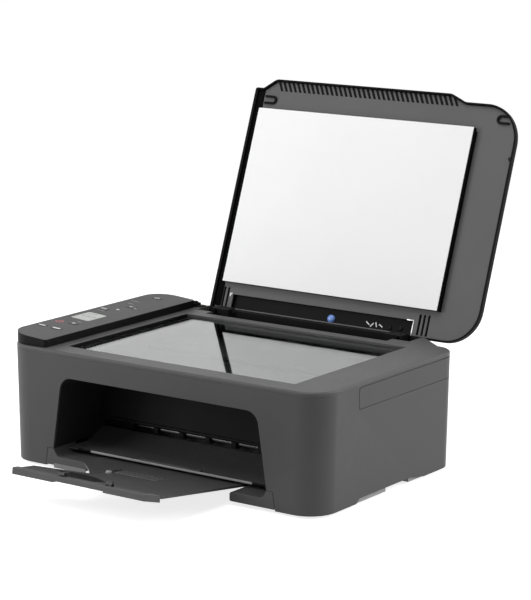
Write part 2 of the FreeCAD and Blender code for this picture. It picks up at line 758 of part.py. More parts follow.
def platen_frame():
    """Top frame with a bevelled edge, the ledge that carries the glass and the rear cut-outs."""
    plate = bevelled_case_prism((FRAME_BOTTOM, FRAME_TOP), FRAME_BEVEL)
    ledge_bottom = LEDGE_TOP - LEDGE_THICK
    rim = glass_opening(RIM_WALL, (ledge_bottom, FRAME_BOTTOM))
    frame = joined([plate, rim])
    deck = box((-DECK_HALF, DECK_HALF), (DECK_FRONT, REAR_DEPTH + 1), (FRAME_BOTTOM - 1, FRAME_TOP + 1))
    arm_room = box(
        (DECK_HALF - 1, ARM_OUTER + SWING),
        (LID_REAR - ARM_BARREL, REAR_DEPTH + 1),
        (FRAME_BOTTOM - 1, FRAME_TOP + 1),
    )
    holes = [
        glass_opening(0, (LEDGE_TOP, FRAME_TOP + 1)),
        glass_opening(-LEDGE_REACH, (ledge_bottom - 1, LEDGE_TOP + 1)),
        deck,
    ]
    return frame.cut(holes + both_sides(arm_room))


def platen_glass():
    """Flat glass on the ledge, right of the dark strip."""
    x_span = (GLASS_LEFT + STRIP_WIDTH + GAP, GLASS_RIGHT - GAP)
    return box(x_span, (GLASS_FRONT + GAP, GLASS_REAR - GAP), (LEDGE_TOP, GLASS_TOP))


def glass_strip():
    """Dark strip along the left edge of the glass, sloping down to it."""
    side = [
        (GLASS_LEFT + GAP, LEDGE_TOP, 0),
        (GLASS_LEFT + STRIP_WIDTH, LEDGE_TOP, 0),
        (GLASS_LEFT + STRIP_WIDTH, GLASS_TOP - 0.5, 0),
        (GLASS_LEFT + GAP, GLASS_TOP, 0),
    ]
    return prism("y", (GLASS_FRONT + GAP, GLASS_REAR - GAP), side)


def scan_bed():
    """Tub under the glass; its end walls hold the guide rod."""
    bed_top = LEDGE_TOP - LEDGE_THICK
    inside = glass_opening(0, (BED_BOTTOM + BED_FLOOR, bed_top))
    tub = glass_opening(RIM_WALL, (BED_BOTTOM, bed_top)).cut(inside)
    bore = rod("x", (GLASS_LEFT - 1, GLASS_RIGHT + 1), (SCAN_ROD_Y, SCAN_ROD_Z), SCAN_ROD_RADIUS)
    return tub.cut(bore)


def scan_rod():
    """Steel rod that guides the scan bar from side to side."""
    return rod("x", (GLASS_LEFT - 1, GLASS_RIGHT + 1), (SCAN_ROD_Y, SCAN_ROD_Z), SCAN_ROD_RADIUS)


def scan_carriage():
    """Image sensor bar under the glass, parked beneath the dark strip."""
    left = GLASS_LEFT + LEDGE_REACH + SWING
    y_span = (GLASS_FRONT + LEDGE_REACH + SWING, GLASS_REAR - LEDGE_REACH - SWING)
    bar = box((left, left + SCAN_BAR_WIDTH), y_span, (BED_BOTTOM + BED_FLOOR + SWING, LEDGE_TOP - SWING))
    bore = rod("x", (left - 1, left + SCAN_BAR_WIDTH + 1), (SCAN_ROD_Y, SCAN_ROD_Z), SCAN_ROD_RADIUS + RUN)
    return bar.cut(bore)


def panel_plan(inset, z_span):
    """Extrude the control panel's plan outline, drawn in by an inset."""
    corners = [
        (PANEL_LEFT + inset, PANEL_FRONT + inset, PANEL_CORNER - inset),
        (PANEL_RIGHT - inset, PANEL_FRONT + inset, 3.0),
        (PANEL_RIGHT - inset, PANEL_REAR - inset, 3.0),
        (PANEL_LEFT + inset, PANEL_REAR - inset, PANEL_CORNER - inset),
    ]
    return prism("z", z_span, corners)


def under_slope(offset):
    """Return all the room under the panel's sloping top, moved up by an offset."""
    side = [
        (PANEL_LEFT, FRAME_TOP, 0),
        (PANEL_RIGHT, FRAME_TOP, 0),
        (PANEL_RIGHT, PANEL_RIGHT_TOP + offset, 0),
        (PANEL_LEFT, PANEL_LEFT_TOP + offset, 0),
    ]
    return prism("y", (PANEL_FRONT, PANEL_REAR), side)


def pad_plan(centre, size, grow, bottom):
    """Extrude a rounded pad of the panel, such as a key or the display, up past the panel's top."""
    x, y = centre
    half_x, half_y = size[0] / 2 + grow, size[1] / 2 + grow
    corner = min(half_x, half_y, 3.0) - 0.1
    outline = rectangle((x - half_x, x + half_x), (y - half_y, y + half_y), corner)
    return prism("z", (bottom, PANEL_LEFT_TOP + 5), outline)


def panel_housing():
    """Hollow control panel with holes for the keys and a pocket for the display."""
    z_span = (FRAME_TOP, PANEL_LEFT_TOP + 1)
    shell = panel_plan(0, z_span).common(under_slope(0))
    shell = shell.cut(panel_plan(PANEL_WALL, z_span).common(under_slope(-PANEL_WALL)))
    holes = [pad_plan(centre, KEY_SIZE, GAP, KEY_BOTTOM) for centre in KEY_CENTRES.values()]
    pocket = pad_plan(DISPLAY_CENTRE, DISPLAY_SIZE, GAP, KEY_BOTTOM).cut(under_slope(-DISPLAY_THICK))
    return shell.cut(holes + [pocket])


def display_window():
    """Pale display window in its pocket, flush with the panel's top."""
    plan = pad_plan(DISPLAY_CENTRE, DISPLAY_SIZE, 0, KEY_BOTTOM)
    return plan.common(under_slope(0)).cut(under_slope(-DISPLAY_THICK))


def panel_key(centre):
    """One key: a cap through the panel's top with a flange that keeps it in."""
    cap = pad_plan(centre, KEY_SIZE, 0, KEY_BOTTOM).common(under_slope(KEY_PROUD))
    flange = pad_plan(centre, KEY_SIZE, KEY_FLANGE, KEY_BOTTOM)
    flange_z = (KEY_BOTTOM, KEY_BOTTOM + KEY_FLANGE_THICK)
    flange = flange.common(box((PANEL_LEFT, PANEL_RIGHT), (PANEL_FRONT, PANEL_REAR), flange_z))
    return joined([cap, flange])


def rear_tray():
    """Trough behind the scanner where the paper stands, with the roller's window and a guide slot."""
    wall_front = DECK_FRONT - DECK_WALL
    floor_rear = SUPPORT_AXIS_Y - SUPPORT_BARREL - GAP
    wall = box((-DECK_HALF, DECK_HALF), (wall_front, DECK_FRONT), (DECK_FLOOR_FRONT_Z, FRAME_BOTTOM))
    floor = prism(
        "x",
        (-DECK_HALF, DECK_HALF),
        [
            (wall_front, DECK_FLOOR_FRONT_Z - DECK_WALL, 0),
            (floor_rear, DECK_FLOOR_REAR_Z - DECK_WALL, 0),
            (floor_rear, DECK_FLOOR_REAR_Z, 0),
            (wall_front, DECK_FLOOR_FRONT_Z, 0),
        ],
    )
    end_z = (DECK_FLOOR_FRONT_Z - DECK_WALL, FRAME_BOTTOM)
    end = box((DECK_HALF, DECK_HALF + DECK_WALL), (wall_front, REAR_DEPTH - WALL), end_z)
    roller_half = PICKUP_HALF + 2
    roller_z = (PICKUP_Z - PICKUP_RADIUS, PICKUP_Z + PICKUP_RADIUS)
    roller_room = box((-roller_half, roller_half), (wall_front - 1, DECK_FRONT + 1), roller_z)
    slot_end = GUIDE_X + 4
    slot_start = GUIDE_X - GUIDE_TRAVEL - 4
    slot_z = (GUIDE_SLOT_Z - GUIDE_TONGUE - GAP, GUIDE_SLOT_Z + GUIDE_TONGUE + GAP)
    slot = box((slot_start, slot_end), (wall_front - 1, DECK_FRONT + 1), slot_z)
    return joined([wall, floor] + both_sides(end)).cut([roller_room] + both_sides(slot))


def paper_guide(side):
    """One paper guide: a blade in the trough with a headed tongue through the wall's slot."""
    wall_front = DECK_FRONT - DECK_WALL
    x = GUIDE_X * side
    half = GUIDE_THICK / 2
    blade = prism(
        "x",
        (x - half, x + half),
        rectangle((DECK_FRONT + GAP, DECK_FRONT + GUIDE_REACH), (GUIDE_LOW, GUIDE_HIGH), 4.0),
    )
    tongue_z = (GUIDE_SLOT_Z - GUIDE_TONGUE, GUIDE_SLOT_Z + GUIDE_TONGUE)
    tongue = box((x - half, x + half), (wall_front - GAP - GUIDE_THICK, DECK_FRONT + 1), tongue_z)
    head_z = (GUIDE_SLOT_Z - 2 * GUIDE_TONGUE, GUIDE_SLOT_Z + 2 * GUIDE_TONGUE)
    head = box((x - 2 * half, x + 2 * half), (wall_front - GAP - GUIDE_THICK, wall_front - GAP), head_z)
    return joined([blade, tongue, head])


def rear_cover():
    """Rear panel in the case's window, with two ears for the paper support."""
    half = WINDOW_HALF - GAP
    plate = box((-half, half), (REAR_DEPTH - WALL, REAR_DEPTH), (WINDOW_BOTTOM + GAP, COVER_TOP))
    front = SUPPORT_AXIS_Y - SUPPORT_BARREL
    ear_top = SUPPORT_AXIS_Z + SUPPORT_BARREL
    ear_side = [
        (front, EAR_LOW, 0),
        (REAR_DEPTH, EAR_LOW, 0),
        (REAR_DEPTH, ear_top, EAR_ROUND),
        (front, ear_top, EAR_ROUND),
    ]
    ear = prism("x", (SUPPORT_HALF + GAP, half), ear_side)
    bore = rod("x", (-WINDOW_HALF, WINDOW_HALF), (SUPPORT_AXIS_Y, SUPPORT_AXIS_Z), SUPPORT_PIN + RUN)
    return joined([plate] + both_sides(ear)).cut(bore)


def paper_support():
    """Flap behind the paper, hinged at its foot, with shallow ribs on its rear face."""
    front = SUPPORT_AXIS_Y - SUPPORT_THICK / 2
    rear = SUPPORT_AXIS_Y + SUPPORT_THICK / 2
    outline = [
        (-SUPPORT_HALF, SUPPORT_AXIS_Z, 0),
        (SUPPORT_HALF, SUPPORT_AXIS_Z, 0),
        (SUPPORT_HALF, SUPPORT_TOP, SUPPORT_CORNER),
        (-SUPPORT_HALF, SUPPORT_TOP, SUPPORT_CORNER),
    ]
    plate = prism("y", (front, rear), outline)
    axis = (SUPPORT_AXIS_Y, SUPPORT_AXIS_Z)
    barrel = rod("x", (-SUPPORT_HALF, SUPPORT_HALF), axis, SUPPORT_BARREL)
    reach = WINDOW_HALF - GAP
    rib_z = (SUPPORT_AXIS_Z, SUPPORT_TOP - SUPPORT_CORNER)
    ribs = []
    for index in range(SUPPORT_RIB_COUNT):
        x = (index - (SUPPORT_RIB_COUNT - 1) / 2) * SUPPORT_RIB_PITCH
        x_span = (x - SUPPORT_RIB / 2, x + SUPPORT_RIB / 2)
        ribs.append(box(x_span, (front, rear + SUPPORT_RIB_PROUD), rib_z))
    return joined([plate, barrel, rod("x", (-reach, reach), axis, SUPPORT_PIN)] + ribs)


def opened(shape):
    """Open a lid piece about the lid's hinge, to its standing pose."""
    shape.rotate(vec(0, LID_AXIS_Y, LID_AXIS_Z), vec(-1, 0, 0), LID_ANGLE)
    return shape


def lid_prism(inset, z_span):
    """Extrude the closed lid's plan outline, with its finger tab, drawn in by an inset."""
    corners = [
        (LID_LEFT, LID_REAR, 2.0),
        (LID_LEFT, LID_FRONT_LEFT, 3.0),
        (LID_TAB_LEFT[0], LID_FRONT_LEFT, 4.0),
        (LID_TAB_LEFT[1], LID_TAB_FRONT, LID_TAB_RADIUS),
        (LID_TAB_RIGHT[0], LID_TAB_FRONT, LID_TAB_RADIUS),
        (LID_TAB_RIGHT[1], LID_FRONT_RIGHT, LID_TAB_RADIUS),
        (LID_RIGHT, LID_FRONT_RIGHT, LID_FRONT_RADIUS),
        (LID_RIGHT, LID_REAR, LID_REAR_RADIUS),
    ]
    return prism("z", z_span, inset_corners(corners, inset))


def lid_hollow(margin, z_span):
    """Return the room inside the lid's rim, which is widest on the left, drawn in by a margin."""
    right_of_rim = box((LID_LEFT + LID_LEFT_RIM + margin, CASE_WIDTH), (-CASE_DEPTH, REAR_DEPTH), z_span)
    return lid_prism(LID_SKIN + margin, z_span).common(right_of_rim)


def lid_shell():
    """Outer skin of the lid: a shallow dish, open underneath."""
    shell = lid_prism(0, (LID_BOTTOM, LID_TOP)).cut(lid_hollow(0, (LID_BOTTOM, LID_TOP - LID_SKIN)))
    return opened(shell)


def grille_slot(index):
    """Return the tool that cuts one slanted slot of the finger grille."""
    x = GRILLE_LEFT + index * (GRILLE_RIGHT - GRILLE_LEFT) / (GRILLE_COUNT - 1)
    rear = GRILLE_FRONT + GRILLE_LENGTH
    corners = [
        (x, GRILLE_FRONT, 0),
        (x + GRILLE_SLOT, GRILLE_FRONT, 0),
        (x + GRILLE_SLOT + GRILLE_SLANT, rear, 0),
        (x + GRILLE_SLANT, rear, 0),
    ]
    return prism("z", (LINER_BOTTOM - 1, LINER_TOP + 1), corners)


def lid_liner():
    """Inner panel of the lid, with the grille under the tab and openings at the hinges."""
    panel = lid_hollow(GAP, (LINER_BOTTOM, LINER_TOP))
    z_span = (LINER_BOTTOM - 1, LINER_TOP + 1)
    rear = LID_REAR - LID_SKIN - GAP - LINER_WALL
    cuts = [grille_slot(index) for index in range(GRILLE_COUNT)]
    cuts.append(box((-HINGE_BAY_HALF, HINGE_BAY_HALF), (HINGE_BAY_FRONT, rear), z_span))
    for index in range(HINGE_SLOT_COUNT):
        x = ARM_INNER + index * HINGE_SLOT_PITCH
        cuts += both_sides(box((x, x + HINGE_SLOT), (HINGE_SLOT_FRONT, rear), z_span))
    wall_z = (LINER_TOP, LID_TOP - LID_SKIN)
    walls = lid_hollow(GAP, wall_z).cut(lid_hollow(GAP + LINER_WALL, wall_z))
    return opened(joined([panel.cut(cuts), walls]))


def pad_block(z_span):
    """Return a block that fits into the scanner's opening when the lid is shut."""
    x_span = (GLASS_LEFT + PAD_LEFT_INSET, GLASS_RIGHT - PAD_RIGHT_INSET)
    return box(x_span, (GLASS_FRONT + PAD_END_INSET, GLASS_REAR - PAD_END_INSET), z_span)


def backing_pad():
    """Foam pad that presses the sheet onto the glass."""
    return opened(pad_block((GLASS_TOP + PAD_LIFT + SHEET_THICK, LINER_BOTTOM)))


def backing_sheet():
    """White sheet on the pad's face."""
    return opened(pad_block((GLASS_TOP + PAD_LIFT, GLASS_TOP + PAD_LIFT + SHEET_THICK)))


def hinge_arms():
    """Two arms behind the lid, each with a barrel and pins for its socket."""
    axis = (LID_AXIS_Y, LID_AXIS_Z)
    neck = prism(
        "x",
        (ARM_INNER, ARM_OUTER),
        [
            (LID_REAR, LID_BOTTOM + 1, 0),
            (LID_REAR + 3, LID_BOTTOM + 1, 3.0),
            (LID_AXIS_Y - ARM_BARREL, LID_AXIS_Z, 0),
            (LID_AXIS_Y, LID_AXIS_Z, 0),
            (LID_AXIS_Y, LID_AXIS_Z + ARM_BARREL, 0),
            (LID_REAR + 8, LID_TOP - 1, 4.0),
            (LID_REAR, LID_TOP - 1, 0),
        ],
    )
    barrel = rod("x", (ARM_INNER, ARM_OUTER), axis, ARM_BARREL)
    pin = rod("x", (ARM_INNER - SWING - EAR_THICK, ARM_OUTER + SWING + EAR_THICK), axis, ARM_PIN)
    return opened(Part.makeCompound(both_sides(joined([neck, barrel, pin]))))


def hinge_sockets():
    """Two forked sockets that hold the lid's pins, each with a cap reaching towards the paper support."""
    inner = ARM_INNER - SWING
    outer = ARM_OUTER + SWING
    y_span = (SOCKET_FRONT, SOCKET_REAR)
    ears = [
        box((inner - EAR_THICK, inner), y_span, (SOCKET_BOTTOM, CAP_TOP)),
        box((SUPPORT_HALF + GAP, inner), y_span, (FRAME_TOP + GAP, CAP_TOP)),
        box((SUPPORT_HALF + GAP, DECK_HALF - GAP), y_span, (SUPPORT_AXIS_Z + SUPPORT_BARREL + GAP, CAP_TOP)),
        box((outer, outer + EAR_THICK), y_span, (SOCKET_BOTTOM, FRAME_BOTTOM)),
        box((inner - EAR_THICK, outer + EAR_THICK), y_span, (SOCKET_BOTTOM, SOCKET_BOTTOM + EAR_THICK)),
    ]
    bore = rod("x", (0, CASE_WIDTH), (LID_AXIS_Y, LID_AXIS_Z), ARM_PIN + RUN)
    return Part.makeCompound(both_sides(joined(ears).cut(bore)))


def chassis_frame():
    """Sheet steel frame: two side plates, a rear cross plate, motor shelves and screw tabs."""
    side = box((CHASSIS_X, CHASSIS_X + CHASSIS_SHEET), (CHASSIS_FRONT, CHASSIS_REAR), (PAN_TOP, CHASSIS_TOP))
    cross = box((-CHASSIS_X, CHASSIS_X), (CROSS_Y, CROSS_Y + CHASSIS_SHEET), (CROSS_BOTTOM, CHASSIS_TOP))
    shelf_x = (CHASSIS_X - SHELF_LENGTH, CHASSIS_X)
    shelf = box(shelf_x, (SHELF_FRONT, CROSS_Y), (SHELF_Z, SHELF_Z + CHASSIS_SHEET))
    parts = both_sides(side) + [cross] + both_sides(shelf)
    holes = [rod("z", (SHELF_Z - 1, PULLEY_HIGH), (-PULLEY_X, PULLEY_Y), PULLEY_PIN + GAP)]
    for y in TAB_Y:
        tab_y = (y - TAB_SIZE / 2, y + TAB_SIZE / 2)
        tab = box((CHASSIS_X - TAB_SIZE, CHASSIS_X), tab_y, (PAN_TOP, PAN_TOP + CHASSIS_SHEET))
        parts += both_sides(tab)
        holes += both_sides(rod("z", (PAN_TOP - 1, PAN_TOP + 3), (CHASSIS_X - TAB_SIZE / 2, y), SCREW_SHANK))
    parts.append(rod("z", (SHELF_Z, PULLEY_HIGH), (PULLEY_X, PULLEY_Y), PULLEY_PIN))
    plate = (CHASSIS_X, CHASSIS_X + CHASSIS_SHEET)
    parts.append(rod("x", (plate[0], GEAR_START + GEAR_WIDTH + 1), (IDLER_Y, ROLLER_Z), IDLER_PIN))
    reach = (-CHASSIS_X - CHASSIS_SHEET - 1, CHASSIS_X + CHASSIS_SHEET)
    holes += [
        rod("x", (reach[0], plate[1] + 1), (MAIN_ROLLER_Y, ROLLER_Z), MAIN_SHAFT + RUN),
        rod("x", (reach[0], plate[1] + 1), (EXIT_Y, ROLLER_Z), EXIT_SHAFT + RUN),
        rod("x", (reach[0], plate[1] + 1), (PICKUP_Y, PICKUP_Z), PICKUP_SHAFT + RUN),
        rod("x", (reach[0], plate[1] + 1), (CARRIAGE_ROD_Y, CARRIAGE_ROD_Z), CARRIAGE_ROD),
        rod("x", (CHASSIS_INNER - 1, plate[1] + 1), (PINION_Y, PINION_Z), MOTOR_SHAFT + GAP),
    ]
    return joined(parts).cut(holes)


def chassis_screws():
    """Four screws that hold the chassis on the base pan."""
    screws = []
    for y in TAB_Y:
        centre = (CHASSIS_X - TAB_SIZE / 2, y)
        head = rod("z", (PAN_BOTTOM + 0.2, PAN_BOTTOM + 1.2), centre, SCREW_HEAD)
        shank = rod("z", (PAN_BOTTOM + 1.2, PAN_TOP + CHASSIS_SHEET + 1), centre, SCREW_SHANK)
        screws += both_sides(joined([head, shank]))
    return Part.makeCompound(screws)


def carriage_rod():
    """Steel rod that the print carriage slides on."""
    end = CHASSIS_X + CHASSIS_SHEET
    return rod("x", (-end, end), (CARRIAGE_ROD_Y, CARRIAGE_ROD_Z), CARRIAGE_ROD)


def main_roller():
    """Main feed roller: a steel shaft with a grit sleeve."""
    end = CHASSIS_X + CHASSIS_SHEET + 1
    shaft = rod("x", (-end, GEAR_START + GEAR_WIDTH), (MAIN_ROLLER_Y, ROLLER_Z), MAIN_SHAFT)
    sleeve = rod("x", (-MAIN_SLEEVE_HALF, MAIN_SLEEVE_HALF), (MAIN_ROLLER_Y, ROLLER_Z), MAIN_SLEEVE)
    return joined([shaft, sleeve])


def exit_shaft():
    """Steel shaft of the exit roller."""
    end = CHASSIS_X + CHASSIS_SHEET + 1
    return rod("x", (-end, GEAR_START + GEAR_WIDTH), (EXIT_Y, ROLLER_Z), EXIT_SHAFT)


def exit_tyres():
    """Rubber tyres on the exit shaft."""
    tyres = []
    first = -TYRE_PITCH * (TYRE_COUNT - 1) / 2
    for index in range(TYRE_COUNT):
        x = first + index * TYRE_PITCH
        span = (x - TYRE_WIDTH / 2, x + TYRE_WIDTH / 2)
        shaft = rod("x", span, (EXIT_Y, ROLLER_Z), EXIT_SHAFT)
        tyre = rod("x", span, (EXIT_Y, ROLLER_Z), TYRE_RADIUS).cut(shaft)
        tyres.append(tyre)
    return Part.makeCompound(tyres)


def pickup_roller():
    """Rubber pick-up roller that draws the top sheet from the rear trough."""
    end = CHASSIS_X + CHASSIS_SHEET + 1
    shaft = rod("x", (-end, end), (PICKUP_Y, PICKUP_Z), PICKUP_SHAFT)
    return joined([shaft, rod("x", (-PICKUP_HALF, PICKUP_HALF), (PICKUP_Y, PICKUP_Z), PICKUP_RADIUS)])


def involute_flank(base, radius):
    """Return the polar angle swept by an involute of a base circle out to a radius."""
    grow = math.sqrt(max((radius / base) ** 2 - 1, 0))
    return grow - math.atan(grow)


def spur_gear(teeth, centre, bore, phase, span):
    """Return an involute spur gear about an X axis; phase is the angle of one tooth's middle."""
    pitch = GEAR_MODULE * teeth / 2
    base = pitch * math.cos(math.radians(PRESSURE_ANGLE))
    tip = pitch + 0.9 * GEAR_MODULE
    root = pitch - 1.25 * GEAR_MODULE
    half_thick = (math.pi * GEAR_MODULE / 2 - GEAR_BACKLASH) / (2 * pitch)
    half_base = half_thick + involute_flank(base, pitch)
    radii = [max(base, root) + (tip - max(base, root)) * step / 4 for step in range(5)]
    points = []
    for tooth in range(teeth):
        middle = phase + 2 * math.pi * tooth / teeth
        flank = [(root, half_base)] + [(r, half_base - involute_flank(base, r)) for r in radii]
        for sign, side in ((-1, flank), (1, flank[::-1])):
            for r, angle in side:
                turn = middle + sign * angle
                points.append((centre[0] + r * math.cos(turn), centre[1] + r * math.sin(turn), 0))
    return prism("x", span, points).cut(rod("x", span, centre, bore))


def gear_span():
    """Return the X span that every gear of the feed train shares."""
    return (GEAR_START, GEAR_START + GEAR_WIDTH)


def main_gear():
    """Gear on the main feed roller."""
    return spur_gear(MAIN_TEETH, (MAIN_ROLLER_Y, ROLLER_Z), MAIN_SHAFT, 0.0, gear_span())


def exit_gear():
    """Gear on the exit roller."""
    return spur_gear(EXIT_TEETH, (EXIT_Y, ROLLER_Z), EXIT_SHAFT, 0.0, gear_span())


def idler_gear():
    """Gear between the two rollers, half a tooth out of step so that it meshes with both."""
    return spur_gear(IDLER_TEETH, (IDLER_Y, ROLLER_Z), IDLER_PIN + RUN, math.pi / IDLER_TEETH, gear_span())


def motor_pinion():
    """Pinion on the feed motor's shaft, in mesh with the main gear."""
    centre = (PINION_Y, PINION_Z)
    start = CHASSIS_INNER - MOTOR_SEAT
    gear = spur_gear(PINION_TEETH, centre, MOTOR_SHAFT, math.pi / PINION_TEETH, gear_span())
    return joined([gear, rod("x", (start, GEAR_START + GEAR_WIDTH), centre, MOTOR_SHAFT)])


def feed_motor():
    """Motor that turns the feed rollers, on the right side plate."""
    centre = (PINION_Y, PINION_Z)
    can = rod("x", (CHASSIS_INNER - MOTOR_LENGTH, CHASSIS_INNER), centre, MOTOR_RADIUS)
    return can.cut(rod("x", (CHASSIS_INNER - MOTOR_SEAT, CHASSIS_INNER), centre, MOTOR_SHAFT + RUN))


def carriage_motor():
    """Motor under the left shelf that drives the carriage belt."""
    centre = (-PULLEY_X, PULLEY_Y)
    can = rod("z", (SHELF_Z - MOTOR_LENGTH, SHELF_Z), centre, MOTOR_RADIUS - 1)
    return can.cut(rod("z", (SHELF_Z - MOTOR_SEAT, SHELF_Z), centre, PULLEY_PIN + RUN))


def pulley(x, bore):
    """Return a flanged belt pulley at one end of the belt."""
    centre = (x, PULLEY_Y)
    body = joined([
        rod("z", (PULLEY_LOW, PULLEY_HIGH), centre, PULLEY_RADIUS),
        rod("z", (PULLEY_LOW, PULLEY_LOW + FLANGE_THICK), centre, PULLEY_FLANGE),
        rod("z", (PULLEY_HIGH - FLANGE_THICK, PULLEY_HIGH), centre, PULLEY_FLANGE),
    ])
    if bore:
        return body.cut(rod("z", (PULLEY_LOW, PULLEY_HIGH), centre, bore))
    return joined([body, rod("z", (SHELF_Z - MOTOR_SEAT, PULLEY_LOW), centre, PULLEY_PIN)])


def drive_pulley():
    """Pulley on the carriage motor's shaft."""
    return pulley(-PULLEY_X, 0.0)


def idler_pulley():
    """Free pulley at the belt's other end."""
    return pulley(PULLEY_X, PULLEY_PIN + RUN)


def carriage_belt():
    """Belt loop round the two pulleys."""
    loops = []
    for radius in (PULLEY_RADIUS + BELT_GAP + BELT_THICK, PULLEY_RADIUS + BELT_GAP):
        x_span = (-PULLEY_X - radius, PULLEY_X + radius)
        outline = rectangle(x_span, (PULLEY_Y - radius, PULLEY_Y + radius), radius - 0.001)
        loops.append(prism("z", (BELT_LOW, BELT_HIGH), outline))
    return loops[0].cut(loops[1])


def cartridge_span(side):
    """Return the X span of the pocket left (-1) or right (1) of the carriage's middle."""
    near, far = 1.0, CARRIAGE_HALF - CARRIAGE_SKIN
    spans = {
        1: (CARRIAGE_PARK_X + near, CARRIAGE_PARK_X + far),
        -1: (CARRIAGE_PARK_X - far, CARRIAGE_PARK_X - near),
    }
    return spans[side]


def print_carriage():
    """Carriage with two open pockets, the rod's bearing and a clamp on the belt's front run."""
    x_span = (CARRIAGE_PARK_X - CARRIAGE_HALF, CARRIAGE_PARK_X + CARRIAGE_HALF)
    body = box(x_span, (CARRIAGE_FRONT, CARRIAGE_REAR), (CARRIAGE_BOTTOM, CARRIAGE_TOP))
    run_y = PULLEY_Y - PULLEY_RADIUS - BELT_GAP
    clamp_x = (CARRIAGE_PARK_X - CLAMP_HALF, CARRIAGE_PARK_X + CLAMP_HALF)
    clamp = box(clamp_x, (CARRIAGE_REAR, run_y + 3), (BELT_LOW - 2, BELT_HIGH + 2))
    slot = box(x_span, (run_y - BELT_THICK - GAP, run_y + GAP), (BELT_LOW - GAP, BELT_HIGH + GAP))
    cuts = [slot, rod("x", x_span, (CARRIAGE_ROD_Y, CARRIAGE_ROD_Z), CARRIAGE_ROD + RUN)]
    for side in (-1, 1):
        low, high = cartridge_span(side)
        pocket_y = (CARRIAGE_FRONT + CARRIAGE_SKIN, POCKET_REAR)
        cuts.append(box((low, high), pocket_y, (CARRIAGE_BOTTOM + CARRIAGE_SKIN, CARRIAGE_TOP + 1)))
        nozzle_x = (low + NOZZLE_SIDE, high - NOZZLE_SIDE)
        nozzle_y = (CARRIAGE_FRONT + NOZZLE_END, POCKET_REAR - NOZZLE_END)
        cuts.append(box(nozzle_x, nozzle_y, (CARRIAGE_BOTTOM - 1, CARRIAGE_TOP)))
    return joined([body, clamp]).cut(cuts)


def ink_cartridge(side):
    """One ink cartridge: a block with its nozzle plate through the pocket's floor."""
    low, high = cartridge_span(side)
    floor = CARRIAGE_BOTTOM + CARRIAGE_SKIN
    body = box(
        (low + GAP, high - GAP),
        (CARRIAGE_FRONT + CARRIAGE_SKIN + GAP, POCKET_REAR - GAP),
        (floor, CARRIAGE_TOP - CARRIAGE_SKIN),
    )
    nozzle = box(
        (low + NOZZLE_SIDE + GAP, high - NOZZLE_SIDE - GAP),
        (CARRIAGE_FRONT + NOZZLE_END + GAP, POCKET_REAR - NOZZLE_END - GAP),
        (CARRIAGE_BOTTOM - SWING, floor),
    )
    return joined([body, nozzle])


def black_cartridge():
    """Cartridge with black ink."""
    return ink_cartridge(1)


def color_cartridge():
    """Cartridge with coloured inks."""
    return ink_cartridge(-1)


def print_platen():
    """Ribbed plate that carries the paper under the print heads."""
    top = PAPER_Z - PLATEN_RIB
    span = (-CHASSIS_X, PLATEN_RIGHT)
    plate = box(span, (PLATEN_FRONT, PLATEN_REAR), (PLATEN_BOTTOM, top - 1))
    ribs = []
    count = int((PLATEN_RIGHT + MAIN_SLEEVE_HALF) / RIB_PITCH)
    for index in range(count):
        x = -MAIN_SLEEVE_HALF + index * RIB_PITCH
        ribs.append(box((x, x + 1.5), (PLATEN_FRONT, PLATEN_REAR), (PLATEN_BOTTOM, PAPER_Z - 1)))
    return joined([plate] + ribs)


def maintenance_station():
    """Station under the parked carriage, with its rubber cap."""
    block_z = (STATION_BOTTOM, PAPER_Z - PLATEN_RIB)
    block = box((PLATEN_RIGHT + GAP, CHASSIS_X), (PLATEN_FRONT, PLATEN_REAR), block_z)
    cap_x = (CARRIAGE_PARK_X - CARRIAGE_HALF + 8, CARRIAGE_PARK_X + CARRIAGE_HALF - 8)
    cap = box(cap_x, (PLATEN_FRONT + 5, PLATEN_REAR - 5), (STATION_BOTTOM, PAPER_Z))
    return joined([block, cap])


def main_board():
    """Circuit board on its posts, with a few blocks of components."""
    top = BOARD_Z + BOARD_THICK
    board = box(BOARD_X, BOARD_Y, (BOARD_Z, top))
    chips = []
    for across, along in CHIP_PLACES:
        x, y = BOARD_X[0] + across, BOARD_Y[0] + along
        chips.append(box((x, x + CHIP_SIZE), (y, y + CHIP_SIZE), (BOARD_Z, top + CHIP_HEIGHT)))
    return joined([board] + chips)


def rear_mouth(x_span, z_span, margin):
    """Return the spans of a socket's mouth through the rear wall, grown by a margin."""
    y_span = (REAR_DEPTH - 4 * WALL, REAR_DEPTH + 2)
    return (x_span[0] - margin, x_span[1] + margin), y_span, (z_span[0] - margin, z_span[1] + margin)


def supply_mouth(margin):
    """Return the spans of the mains inlet's mouth in the rear wall."""
    return rear_mouth(INLET_X, INLET_Z, margin)


def power_supply():
    """Power supply box with the mains inlet at its rear."""
    rear = REAR_DEPTH + SOCKET_PROUD
    floor = rear - INLET_DEPTH
    block = box(SUPPLY_X, SUPPLY_Y, (PAN_TOP, SUPPLY_TOP))
    inlet = box(INLET_X, (SUPPLY_Y[1], rear), INLET_Z)
    hollow_x = (INLET_X[0] + INLET_WALL, INLET_X[1] - INLET_WALL)
    hollow_z = (INLET_Z[0] + INLET_WALL, INLET_Z[1] - INLET_WALL)
    hollow = box(hollow_x, (floor, rear + 1), hollow_z)
    centre = (sum(INLET_X) / 2, sum(INLET_Z) / 2)
    pins = []
    for shift in (-INLET_PIN_SPREAD, INLET_PIN_SPREAD):
        pin_span = (floor - 1, floor + INLET_PIN_LENGTH)
        pins.append(rod("y", pin_span, (centre[0] + shift, centre[1]), INLET_PIN))
    return joined([joined([block, inlet]).cut(hollow)] + pins)


def data_mouth(margin):
    """Return the spans of the data socket's mouth in the rear wall."""
    return rear_mouth(DATA_X, DATA_Z, margin)


